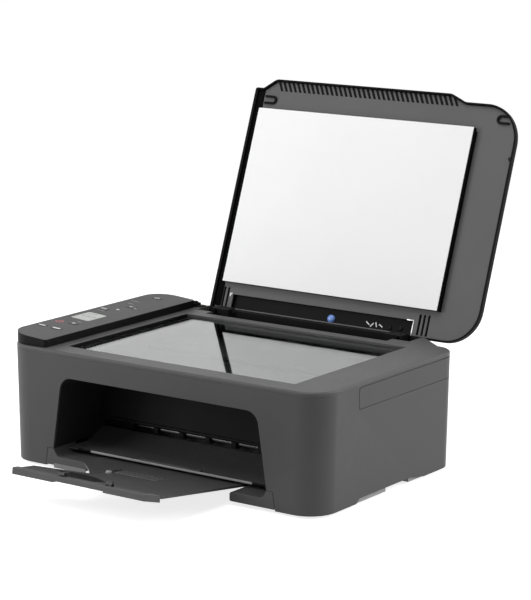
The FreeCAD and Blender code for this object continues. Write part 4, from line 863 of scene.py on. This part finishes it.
@dataclass
class LidDress:
    """Fittings on the underside of the lid, drawn with the lid shut."""

    shop: Workshop
    face: float = 143.6
    bay_face: float = 148.6
    # The first strip is painted shade: black foam laid on the liner beside the left rim, where shade falls.
    # The second is partly the pad's own black side and partly the shadow it casts, painted.
    shade_strips: tuple[tuple[str, Area, float], ...] = (
        ("lid_left_painted_shade", (-156.0, -146.6, 4.6, 279.0), 1.0),
        ("pad_edge", (160.0, 164.8, 32.0, 249.2), 5.8),
    )
    slab_corner: float = 1.2
    slab_edge: float = 0.3
    grille: tuple[float, float, int] = (-123.0, 122.5, 37)
    grille_slot: Area = (-7.6, 3.8, 6.2, 3.6)
    grille_proud: float = 0.12
    hooks: tuple[tuple[str, float, float, int], ...] = (
        ("lid_hook_0", -138.0, 16.0, 1),
        ("lid_hook_1", 199.0, 15.5, -1),
    )
    hook: Area = (5.4, 2.8, 12.0, 2.2)
    catch: Point = (215.0, 61.0)
    catch_profile: tuple[Point, ...] = ((2.4, 0.0), (2.4, 1.4), (1.6, 2.2))
    arrow: tuple[Point, ...] = ((-135.8, 261.4), (-131.6, 261.4), (-135.8, 266.8))
    print_levels: Point = (-0.15, 0.05)
    spot: Point = (14.5, 275.0)
    spot_profile: tuple[Point, ...] = ((5.2, 0.0), (5.2, 1.2), (4.5, 2.5), (2.8, 3.5), (0.9, 3.9))
    stroke: Point = (6.0, 1.3)
    strokes: tuple[Triple, ...] = (
        (66.0, 273.5, 35.0),
        (72.0, 275.0, -50.0),
        (78.0, 274.0, 70.0),
        (84.5, 274.5, 30.0),
    )
    heads: tuple[Point, ...] = ((97.0, 275.5), (112.0, 274.5))
    highlight_bars: tuple[Area, ...] = ((126.5, 263.2, 10.0, 1.2), (131.0, 272.0, 1.2, 18.0))
    highlight_proud: float = 0.5
    highlight_edge: float = 0.2
    webs: tuple[tuple[str, Area], ...] = (
        ("hinge_web_left", (-152.6, -137.4, 283.8, 291.0)),
        ("hinge_web_right", (137.4, 152.6, 283.8, 291.0)),
    )
    web_levels: Point = (130.0, 141.0)

    def build(self) -> None:
        """Add every fitting."""
        for name, area, proud in self.shade_strips:
            self._add(name, self._slab(area, self.face - proud, self.face + SINK), Finish.FOAM, "foam")
        self._grille()
        for name, x, depth, way in self.hooks:
            self._hook(name, x, depth, way)
        catch = moved(turned(self.catch_profile), self._under(self.catch, self.face))
        self._add("lid_stop", catch, Finish.RUBBER, "rubber")
        self._arrow()
        spot = moved(turned(self.spot_profile), self._under(self.spot, self.bay_face))
        self._add("recess_spot", spot, Finish.BLUE_DOT, "display")
        self._strokes()
        for number, at in enumerate(self.heads):
            head = moved(ScrewHead().mesh(), self._under(at, self.bay_face))
            self._add(f"recess_screw_{number}", head, Finish.DARK_STEEL, "steel")
        self._edge_highlight()
        for name, area in self.webs:
            self._add(name, self._slab(area, *self.web_levels), Finish.RIM, "inner")

    def _add(self, name: str, mesh: Mesh, finish: Finish, slot: str) -> None:
        """Swing a mesh open and let it ride on the lid."""
        self.shop.piece(name, moved(mesh, LID_SWING), "lid", finish, slot)

    def _slab(self, area: Area, low: float, high: float) -> Mesh:
        """Return a slab with rounded corners over an area of the shut lid."""
        return outline_prism(plan(area, self.slab_corner), low, high, self.slab_edge)

    def _under(self, at: Point, height: float) -> Matrix:
        """Return the placing that stands a fitting on the underside at a height."""
        x, depth = at
        return Matrix.Translation((x, row(depth), height + SINK)) @ Matrix.Rotation(math.pi, 4, "X")

    def _grille(self) -> None:
        """Lay the shell's black over the slots under the lid's tab, and one before them, wider than the
        slots, as painted shade for their depth.
        """
        start, end, count = self.grille
        front, rear, slant, wide = self.grille_slot
        meshes = []
        for index in range(-1, count):
            x = start + index * (end - start) / (count - 1)
            outline = [(x, row(front)), (x + wide, row(front))]
            outline += [(x + wide + slant, row(rear)), (x + slant, row(rear))]
            meshes.append(outline_prism(outline, self.face - self.grille_proud, self.face + SINK))
        self._add("grille_painted_shade", joined(meshes), Finish.RIM, "inner")

    def _hook(self, name: str, x: float, depth: float, way: int) -> None:
        """Raise one U-shaped catch with its open end to one side.

        Args:
            name: The piece's name.
            x: Where its legs are centred.
            depth: How far behind the front face it is.
            way: One where the bend is on the right, minus one where it is on the left.
        """
        outer, inner, length, proud = self.hook
        span = (-90.0 * way, 180.0 - 90.0 * way)
        outlines = ring((x + way * length / 2, row(depth)), (outer, inner), span, steps=12)
        for side in (-1, 1):
            leg = row(depth) + side * (outer + inner) / 2
            outlines.append(bar((x, leg), (length, outer - inner)))
        meshes = [outline_prism(outline, self.face - proud, self.face + SINK) for outline in outlines]
        self._add(name, joined(meshes), Finish.RIM, "inner")

    def _arrow(self) -> None:
        """Print the pale corner mark beside the left hinge."""
        low, high = (self.face + level for level in self.print_levels)
        mark = outline_prism([(x, row(depth)) for x, depth in self.arrow], low, high)
        self._add("corner_mark", mark, Finish.MARK, "sheet")

    def _strokes(self) -> None:
        """Print a few pale strokes in the recess."""
        meshes = []
        for x, depth, turn in self.strokes:
            spin = Matrix.Rotation(math.radians(turn), 4, "Z")
            mesh = outline_prism(bar((0.0, 0.0), self.stroke), *self.print_levels)
            meshes.append(moved(mesh, Matrix.Translation((x, row(depth), self.bay_face)) @ spin))
        self._add("recess_strokes", joined(meshes), Finish.MARK, "sheet")

    def _edge_highlight(self) -> None:
        """Paint a highlight along the recess's right corner: two pale bars stand for the lit edge of the
        cut-out.
        """
        low, high = self.face - self.highlight_proud, self.face + SINK
        meshes = [outline_prism(arm, low, high, self.highlight_edge) for arm in bars(*self.highlight_bars)]
        self._add("recess_edge_highlight", joined(meshes), Finish.STEEL, "steel")


@dataclass
class PanelDress:
    """The control panel's lit top, a thin copy painted lighter than the shade-darkened housing, the display's
    cell and the printed marks.
    """

    shop: Workshop
    left: float = -218.5
    width: float = 56.5
    left_top: float = 152.0
    right_top: float = 148.0
    top_slack: float = 0.5
    upward: float = 0.9
    key_proud: float = 0.61
    film: float = 0.18
    on_film: float = 0.19
    display: Area = (-197.5, 125.0, 24.0, 33.0)
    display_corner: float = 1.5
    display_lift: float = 0.02
    segment_lift: float = 0.14
    segment_thick: float = 0.04
    segments: tuple[Area, ...] = (
        (-4.0, -3.0, 7.0, 1.2),
        (-4.0, 3.0, 7.0, 1.2),
        (4.0, -3.0, 7.0, 1.2),
        (4.0, 3.0, 7.0, 1.2),
        (-8.2, 0.0, 1.2, 5.0),
        (0.0, 0.0, 1.2, 5.0),
        (8.2, 0.0, 1.2, 5.0),
    )
    levels: tuple[Area, ...] = (
        (-8.0, 12.0, 2.2, 1.6),
        (-4.8, 12.0, 2.2, 2.3),
        (-1.6, 12.0, 2.2, 3.0),
        (1.6, 12.0, 2.2, 3.7),
    )
    key_bars: tuple[tuple[str, tuple[Area, ...]], ...] = (
        ("black_start_button", ((-207.5, 52.0, 9.5, 2.2),)),
        ("color_start_button", ((-187.0, 53.5, 10.5, 2.6),)),
        ("stop_button", ((-188.5, 86.0, 5.0, 1.0), (-188.5, 86.0, 1.0, 4.6))),
        ("copies_button", ((-208.5, 166.0, 8.0, 1.2), (-208.5, 168.4, 8.0, 0.8))),
    )
    power: Point = (-197.5, 256.0)
    power_ring: Point = (3.2, 2.4)
    power_gap: Point = (120.0, 420.0)
    power_bar: Area = (-197.5, 258.4, 0.8, 3.0)
    wireless: Point = (-191.5, 195.5)
    wireless_arcs: tuple[Point, ...] = ((1.6, 1.0), (2.8, 2.2), (4.0, 3.4))
    wireless_span: Point = (45.0, 135.0)
    stop: Point = (-205.5, 81.0)
    stop_ring: Point = (5.2, 3.2)
    stop_square: Point = (3.4, 1.0)
    lamps: tuple[tuple[Area, float], ...] = (
        ((-195.0, 176.5, 4.4, 3.2), 1.5),
        ((-183.9, 195.5, 5.0, 1.4), 0.6),
    )
    lines: tuple[Area, ...] = (
        (-206.0, 158.5, 11.0, 1.0),
        (-203.0, 211.0, 8.0, 1.2),
        (-206.0, 223.6, 12.0, 1.2),
        (-188.0, 96.0, 5.0, 1.4),
    )

    def build(self) -> None:
        """Add the lit top, the cell and the marks."""
        self._lit_top()
        self._display()
        self._key_marks()
        self._film_marks()

    def _lay(
        self,
        name: str,
        outlines: list[Outline],
        lift: float,
        finish: Finish,
        slot: str = "sheet",
        body: str = "body",
        thick: float = 0.12,
    ) -> None:
        """Lay flat outlines on the panel's sloping top as one piece.

        Args:
            name: The piece's name.
            outlines: Corners as X and Y.
            lift: Height above the panel's top.
            finish: Its finish.
            slot: The record's material slot.
            body: The body it moves with.
            thick: Its thickness.
        """
        mesh = joined([outline_prism(outline, lift, lift + thick) for outline in outlines])
        slope = (self.right_top - self.left_top) / self.width
        for vert in mesh.verts:
            vert.co.z += self.left_top + slope * (vert.co.x - self.left)
        self.shop.piece(name, mesh, body, finish, slot)

    def _lit_top(self) -> None:
        """Lift the housing's top faces into a thin film with its holes: a lit copy of the top, painted
        lighter than the housing, whose near-black is painted shade.
        """
        housing = self.shop.nodes["panel_housing"]
        mesh = bmesh.new()
        mesh.from_mesh(housing.data)
        moved(mesh, housing.matrix_world)
        lowest = (self.right_top - self.top_slack) * MM
        lower = [f for f in mesh.faces if f.normal.z < self.upward or f.calc_center_median().z < lowest]
        bmesh.ops.delete(mesh, geom=lower, context="FACES")
        thickened(mesh, self.film * MM)
        self.shop.piece("panel_lit_top", mesh, "body", Finish.PANEL_LIT_TOP, "panel", METRE)

    def _display(self) -> None:
        """Set the display's cell in its window, with one numeral and a level bar."""
        x, depth, wide, tall = self.display
        cell = pill((x, row(depth)), (wide, tall), self.display_corner)
        self._lay("display_cell", [cell], self.display_lift, Finish.WINDOW, "display")
        for name, places in (("display_numeral", self.segments), ("display_level", self.levels)):
            strokes = bars(*((x + along, depth + up, *size) for along, up, *size in places))
            self._lay(name, strokes, self.segment_lift, Finish.SEGMENT, "display", thick=self.segment_thick)

    def _key_marks(self) -> None:
        """Print the plain marks on the keys."""
        marks = {body: bars(*places) for body, places in self.key_bars}
        x, depth = self.power
        sign = ring((x, row(depth)), self.power_ring, self.power_gap, steps=22)
        marks["power_button"] = sign + bars(self.power_bar)
        x, depth = self.wireless
        arcs = [ring((x, row(depth)), radii, self.wireless_span, steps=8) for radii in self.wireless_arcs]
        marks["wireless_button"] = sum(arcs, [])
        for body, outlines in marks.items():
            self._lay(f"{body}_mark", outlines, self.key_proud, Finish.MARK, body=body)

    def _film_marks(self) -> None:
        """Print the plain marks beside the keys."""
        centre = (self.stop[0], row(self.stop[1]))
        side, corner = self.stop_square
        sign = ring(centre, self.stop_ring) + [pill(centre, (side, side), corner)]
        self._lay("stop_sign", sign, self.on_film, Finish.RED_MARK)
        lamps = [pill((x, row(depth)), (wide, tall), radius) for (x, depth, wide, tall), radius in self.lamps]
        self._lay("panel_lamps", lamps, self.on_film, Finish.MARK)
        self._lay("panel_lines", bars(*self.lines), self.on_film, Finish.FAINT_MARK)


@dataclass
class BayDress:
    """The front edge of the bay's floor, the end of the paper's way out and the sill's left lip."""

    shop: Workshop
    edges: tuple[tuple[str, float, float, Finish], ...] = (
        # The floor's front edge is pale as a painted highlight.
        ("floor_edge", -113.0, 113.0, Finish.PAINTED_LIGHT),
        ("floor_left_end", -132.0, -113.0, Finish.RIM),
        ("floor_right_end", 113.0, 132.0, Finish.RIM),
    )
    edge: Area = (23.6, 25.2, 19.3, 22.0)
    edge_corner: float = 0.7
    slot_end: Area = (-145.0, -104.0, 89.8, 92.2)
    slot_levels: Point = (33.9, 44.0)
    slot_corner: float = 0.8
    slot_edge: float = 0.4
    lip: Area = (-148.5, -101.5, 1.6, 7.0)
    lip_corner: float = 1.5
    lip_levels: Point = (-0.2, 0.3)

    def build(self) -> None:
        """Add the floor's edge, the shut end of the slot and the sill's left lip."""
        front, rear, low, high = self.edge
        side = rounded((row(front), row(rear), low, high), self.edge_corner, steps=4)
        for name, left, right, finish in self.edges:
            self.shop.piece(name, across(side, left, right), "body", finish, "case")
        end = outline_prism(plan(self.slot_end, self.slot_corner, steps=3), *self.slot_levels, self.slot_edge)
        self.shop.piece("slot_end", end, "body", Finish.RIM, "inner")
        # The lip's grey is painted shade: it stands for the floor in the printer's shadow, seen under the
        # left stub.
        stand = Matrix.Translation((0.0, FRONT_FACE, 0.0)) @ Matrix.Rotation(math.pi / 2, 4, "X")
        lip = moved(outline_prism(rounded(self.lip, self.lip_corner, steps=4), *self.lip_levels), stand)
        self.shop.piece("sill_left_lip", lip, "body", Finish.PAINTED_FLOOR_SHADE, "case")


@dataclass
class TrayDress:
    """The output tray and its flap, drawn flat and then raised to the drawn-out tray's slope."""

    shop: Workshop
    half: float = 99.0
    window_half: float = 32.9
    rear: float = 52.0
    bottom: float = 10.4
    top: float = 12.6
    dent: Point = (-44.6, -20.6)
    dent_top: float = 11.6
    cutout: tuple[Point, ...] = (
        (-99.0, -22.0),
        (-86.0, -22.0),
        (-54.0, -53.0),
        (-42.0, -66.0),
        (-36.0, -74.0),
        (-40.0, -77.0),
        (-68.0, -85.5),
        (-99.0, -93.0),
    )
    painted_shadow: tuple[Point, ...] = ((-68.0, -91.5), (-33.2, -111.2), (-33.2, -87.0), (-52.0, -89.0))
    pivot: Triple = (2.4, 3.5, 104.0)
    front: float = -129.0
    bar_rear: float = -119.6
    bar_levels: Point = (6.2, 13.8)
    bar_break: float = 1.0
    bar_end: Point = (84.0, 97.0)
    grip: Point = (-42.0, 28.0)
    grip_rise: float = 1.6
    hinge: Point = (-124.6, 16.1)
    ear: Point = (4.0, 2.2)
    ear_gap: float = 0.4
    flat: float = 0.01
    flap_half: float = 32.5
    flap: Point = (-119.1, -45.1)
    flap_top: float = 12.4
    flap_painted_shadow: tuple[Point, ...] = (
        (-32.3, -111.8),
        (-27.0, -114.0),
        (-2.0, -117.0),
        (11.5, -103.0),
        (-11.5, -90.7),
        (-30.7, -86.6),
        (-32.3, -86.8),
    )
    arm: Point = (2.0, 0.2)
    pin: Triple = (1.4, 3.5, 0.2)
    pad: Area = (-28.0, 32.0, -41.5, -24.5)
    pad_wall: float = 1.2
    pad_corners: Point = (3.0, 1.8)
    pad_levels: Triple = (-0.1, 0.6, 0.65)
    pad_edge: float = 0.2
    detent: Point = (-26.5, -51.5)
    detent_profile: tuple[Point, ...] = ((3.8, -0.3), (3.8, 1.2), (3.0, 2.3), (1.4, 2.7))

    def build(self) -> None:
        """Add the tray, its flap and their fittings."""
        tray = self._add("output_tray_moulded", self._plates() + [self._pivot()] + self._ears())
        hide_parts("output_tray")
        self._add("tray_bar", self._bar(), finish=Finish.BEZEL)
        # The bar's slanted end takes the paler liner finish as a painted highlight.
        self._add("tray_bar_end", [self._bar_end()], finish=Finish.LINER)
        flap = self._add("tray_extension_moulded", self._flap(), "extension")
        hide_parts("tray_extension")
        # The next two are painted shadow: flat near-black patches behind the bar, not hollows.
        painted_shadow = self._block(self.painted_shadow, self.top - SINK, self.top + SINK)
        self._add("tray_painted_shadow", [painted_shadow], finish=Finish.INNER)
        painted_shadow = self._block(self.flap_painted_shadow, self.flap_top - SINK, self.flap_top + SINK)
        self._add("flap_painted_shadow", [painted_shadow], "extension", Finish.INNER)
        self._pad()
        # The detent's pale finish is a painted highlight.
        x, depth = self.detent
        place = Matrix.Translation((x, row(depth), self.flap_top))
        self._add("tray_detent", [moved(turned(self.detent_profile), place)], "extension", Finish.PAINTED_LIGHT)

    def _add(
        self, name: str, meshes: list[Mesh], body: str = "tray", finish: Finish = Finish.TRAY
    ) -> bpy.types.Object:
        """Raise meshes to the tray's slope as one piece and return it."""
        return self.shop.piece(name, moved(joined(meshes), TRAY_SLOPE), body, finish, "case")

    def _block(self, corners: tuple[Point, ...] | Outline, low: float, high: float) -> Mesh:
        """Raise corners given as X and depth into a prism."""
        return outline_prism([(x, row(depth)) for x, depth in corners], low, high)

    def _along(self, side: Outline, left: float, right: float) -> Mesh:
        """Run a side view given as depth and height along X."""
        return across([(row(depth), height) for depth, height in side], left, right)

    def _plates(self) -> list[Mesh]:
        """Build the plate round the flap's window, with the cut-out on its left.

        Returns:
            The left, right and middle plate, and the thinner floor of the dent.
        """
        half, inner = self.half, self.window_half
        left = quad(-half, -inner, self.bar_rear, self.rear) + list(self.cutout)
        right = quad(inner, half, self.bar_rear, self.rear)
        near, far = self.dent
        middle = quad(-inner, inner, far, self.rear)
        plates = [self._block(corners, self.bottom, self.top) for corners in (left, right, middle)]
        return plates + [self._block(quad(-inner, inner, near, far), self.bottom, self.dent_top)]

    def _bar(self) -> list[Mesh]:
        """Build the front bar with its broken upper edge, hollowed below for a finger.

        Returns:
            Its three lengths from left to right.
        """
        low, high = self.bar_levels
        stops = (-self.half, *self.grip, self.bar_end[0])
        meshes = []
        for left, right, rise in zip(stops, stops[1:], (0.0, self.grip_rise, 0.0)):
            side = [(self.front, low + rise), (self.bar_rear, low + rise), (self.bar_rear, high)]
            side += [(self.front + self.bar_break, high), (self.front, high - self.bar_break)]
            meshes.append(self._along(side, left, right))
        return meshes

    def _bar_end(self) -> Mesh:
        """Build the slanted right end of the bar.

        Returns:
            The end, let into the bar.
        """
        near, far = self.bar_end
        start, front = near - self.bar_break, self.front + SINK
        low, high = self.bar_levels
        corners = [(start, front), (near, front), (far, self.bar_rear), (start, self.bar_rear)]
        return self._block(corners, low + SINK, high - SINK)

    def _pin(self, radius: float, left: float, right: float) -> Mesh:
        """Return a round length on the flap's hinge line."""
        circle = pill(self.hinge, (2 * radius, 2 * radius), radius - self.flat)
        return self._along(circle, left, right)

    def _ears(self) -> list[Mesh]:
        """Build the two posts on the tray that hold the flap's pins.

        Returns:
            A post and its round top for each side.
        """
        depth, height = self.hinge
        reach, radius = self.ear
        near = self.flap_half + self.ear_gap
        side = quad(depth - radius, depth + radius, self.bottom, height)
        ears = []
        for left, right in ((-near - reach, -near), (near, near + reach)):
            ears += [self._along(side, left, right), self._pin(radius, left, right)]
        return ears

    def _flap(self) -> list[Mesh]:
        """Build the flap's leaf with an arm and a pin at each front corner.

        Returns:
            The leaf, the arms with their round ends, and the pins.
        """
        depth, height = self.hinge
        reach, radius = self.ear
        half, (start, end) = self.flap_half, self.flap
        thick, sink = self.arm
        foot, rear = self.flap_top - sink, start + thick
        side = [(depth, height - radius), (start, height - radius), (start, foot)]
        side += [(rear, foot), (rear, height + radius), (depth, height + radius)]
        meshes = [self._block(quad(-half, half, start, end), self.bottom, self.flap_top)]
        for left, right in ((-half, reach - half), (half - reach, half)):
            meshes += [self._along(side, left, right), self._pin(radius, left, right)]
        radius, reach, sink = self.pin
        for left, right in ((-half - reach, sink - half), (half - sink, half + reach)):
            meshes.append(self._pin(radius, left, right))
        return meshes

    def _pivot(self) -> Mesh:
        """Build the tray's barrel and pins, turned about X.

        Returns:
            One mesh at the tray's axis.
        """
        pin, barrel, end = self.pivot
        profile = ((pin, -end), (pin, -self.half), (barrel, -self.half))
        profile += ((barrel, self.half), (pin, self.half), (pin, end))
        place = Matrix.Translation((0.0, *TRAY_AXIS)) @ Matrix.Rotation(math.pi / 2, 4, "Y")
        return moved(turned(profile), place)

    def _pad(self) -> None:
        """Raise the long finger pad behind the flap."""
        left, right, front, rear = self.pad
        low, rim_top, well_top = (self.dent_top + level for level in self.pad_levels)
        outer, inner = self.pad_corners
        rim = outline_prism(plan(self.pad, outer), low, rim_top, self.pad_edge)
        # The rim's paler liner finish is a painted highlight on the pad's raised edge.
        self._add("tray_grip_rim", [rim], finish=Finish.LINER)
        wall = self.pad_wall
        inside = plan((left + wall, right - wall, front + wall, rear - wall), inner)
        well = outline_prism(inside, self.dent_top, well_top)
        self._add("tray_grip_well", [well], finish=Finish.BEZEL)


@dataclass
class RearDress:
    """Black covers round the lid's hinges, and a black plate on the glass opening's left wall that is painted
    shade.
    """

    shop: Workshop
    covers: tuple[tuple[str, Area, Point, float], ...] = (
        ("knuckle_block", (-173.0, -161.6, 287.5, 300.0), (138.5, 143.0), 3.0),
        ("knuckle_step", (-163.0, -154.8, 289.0, 301.0), (133.5, 140.4), 2.0),
        ("left_hinge_stop", (-136.6, -128.5, 302.5, 307.0), (133.5, 140.0), 1.0),
        ("right_hinge_stop", (128.5, 136.6, 302.5, 307.0), (133.5, 140.0), 1.0),
        # The last cover is painted shade: a black plate on the grey left wall of the glass's opening, which
        # lies in shade.
        ("glass_wall_painted_shade", (-147.3, -146.6, 27.6, 249.4), (134.0, 138.9), 0.3),
    )
    rounding: float = 0.8
    cap: Triple = (-166.0, 293.0, 142.7)
    cap_profile: tuple[Point, ...] = ((3.6, 0.0), (3.6, 1.4), (2.8, 2.5), (1.2, 3.0))

    def build(self) -> None:
        """Add the covers and the knuckle's rounded cap."""
        for name, area, levels, radius in self.covers:
            mesh = outline_prism(plan(area, radius), *levels, min(self.rounding, radius / 2))
            self.shop.piece(name, mesh, "body", Finish.RIM, "inner")
        x, depth, height = self.cap
        cap = moved(turned(self.cap_profile), Matrix.Translation((x, row(depth), height)))
        self.shop.piece("knuckle_cap", cap, "body", Finish.DEEP, "inner")


@dataclass
class Studio:
    """The floor, the lamps, the white surround and the camera, in metres."""

    eye: Triple = (1.6079, -2.2060, 0.7481)
    aim: Triple = (0.0289, 0.0139, 0.19085)
    roll: float = 0.17
    lens: float = 146.46
    sensor: float = 36.0
    shift: Point = (0.0035, 0.001)
    sight: float = 50.0
    fill: float = 0.3
    floor_side: float = 6.0
    floor_levels: Point = (-0.02, -0.00005)
    floor_grey: float = 0.62
    floor_glow: float = 0.78
    floor_fade: Point = (0.7, 2.2)
    lamps: tuple[tuple[str, Triple, float, float], ...] = (
        ("left_box", (-0.85, -0.85, 0.5), 0.6, 6.8),
        ("right_box", (1.8, 1.1, 1.2), 1.4, 44.0),
        ("top_box", (0.0, -0.6, 2.2), 1.8, 31.0),
    )

    def build(self) -> None:
        """Set up everything round the object."""
        self._camera()
        self._world()
        self._floor()
        for name, place, size, power in self.lamps:
            self._lamp(name, place, size, power)

    def _facing(self, place: Triple) -> Matrix:
        """Return the placing that looks from a place at the printer."""
        turn = (Vector(self.aim) - Vector(place)).to_track_quat("-Z", "Y")
        return Matrix.Translation(place) @ turn.to_matrix().to_4x4()

    def _camera(self) -> None:
        """Place the camera at the photograph's viewing angle."""
        data = bpy.data.cameras.new("camera")
        data.lens = self.lens
        data.sensor_width = self.sensor
        data.shift_x, data.shift_y = self.shift
        data.clip_end = self.sight
        camera = bpy.data.objects.new("camera", data)
        camera.matrix_world = self._facing(self.eye) @ Matrix.Rotation(math.radians(self.roll), 4, "Z")
        bpy.context.scene.collection.objects.link(camera)
        bpy.context.scene.camera = camera

    def _seen(self, graph: Graph) -> Socket:
        """Mark the rays that come from the eye, a reflection or glass.

        Args:
            graph: The graph to add to.

        Returns:
            A socket that is one for such a ray.
        """
        path = graph.node("ShaderNodeLightPath")
        shiny = graph.math("MAXIMUM", path.outputs["Is Glossy Ray"], path.outputs["Is Transmission Ray"])
        return graph.math("MAXIMUM", path.outputs["Is Camera Ray"], shiny)

    def _world(self) -> None:
        """Light softly from all round and show plain white behind."""
        world = bpy.data.worlds.new("surround")
        world.use_nodes = True
        graph = Graph(world.node_tree)
        soft = graph.node("ShaderNodeBackground", {"Color": WHITE, "Strength": self.fill})
        white = graph.node("ShaderNodeBackground", {"Color": WHITE, "Strength": 1.0})
        both = graph.blend(self._seen(graph), soft.outputs[0], white.outputs[0])
        graph.node("ShaderNodeOutputWorld", {"Surface": both})
        bpy.context.scene.world = world

    def _floor(self) -> None:
        """Lay a pale floor that keeps the shadow and fades into the white surround."""
        mesh = outline_prism(bar((0.0, 0.0), (self.floor_side, self.floor_side)), *self.floor_levels)
        data = bpy.data.meshes.new("floor")
        mesh.to_mesh(data)
        mesh.free()
        data.materials.append(self._paper())
        floor = bpy.data.objects.new("floor", data)
        bpy.context.scene.collection.objects.link(floor)

    def _paper(self) -> bpy.types.Material:
        """Make the floor's material.

        Returns:
            The material, clear far from the printer.
        """
        material, graph = new_material("floor_paper")
        grey = (self.floor_grey, self.floor_grey, self.floor_grey, 1.0)
        matt = graph.node("ShaderNodeBsdfDiffuse", {"Color": grey})
        glow = graph.node("ShaderNodeEmission", {"Color": WHITE, "Strength": self.floor_glow})
        seen = graph.node("ShaderNodeMixShader", {0: self._seen(graph), 2: glow.outputs[0]})
        paper = graph.node("ShaderNodeAddShader", {0: matt.outputs[0], 1: seen.outputs[0]})
        reach = graph.node("ShaderNodeVectorMath", {0: graph.place()}, operation="LENGTH").outputs["Value"]
        clear = graph.node("ShaderNodeBsdfTransparent")
        whole = graph.blend(graph.spread(reach, *self.floor_fade), paper.outputs[0], clear.outputs[0])
        graph.node("ShaderNodeOutputMaterial", {"Surface": whole})
        return material

    def _lamp(self, name: str, place: Triple, size: float, power: float) -> None:
        """Hang one square softbox and aim it at the printer.

        Args:
            name: The lamp's name.
            place: Where it hangs.
            size: Side of its square.
            power: Its power in watts.
        """
        data = bpy.data.lights.new(name, "AREA")
        data.size = size
        data.energy = power
        lamp = bpy.data.objects.new(name, data)
        lamp.matrix_world = self._facing(place)
        bpy.context.scene.collection.objects.link(lamp)


def main() -> None:
    """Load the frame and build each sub-assembly."""
    logging.basicConfig(level=logging.INFO)
    bpy.ops.wm.read_factory_settings(use_empty=True)
    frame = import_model()
    record = frame["record"]
    slots = {part["node"]: part["material_slot"] for part in record["subparts"]}
    bodies = {node: body for body, nodes in record["behaviour"]["bodies"].items() for node in nodes}
    shop = Workshop(Palette(), frame["nodes"], bodies)
    Shell(shop).build(slots)
    LidDress(shop).build()
    PanelDress(shop).build()
    BayDress(shop).build()
    TrayDress(shop).build()
    RearDress(shop).build()
    Studio().build()
    bpy.context.scene.view_settings.view_transform = "Standard"


if __name__ == "__main__":
    main()
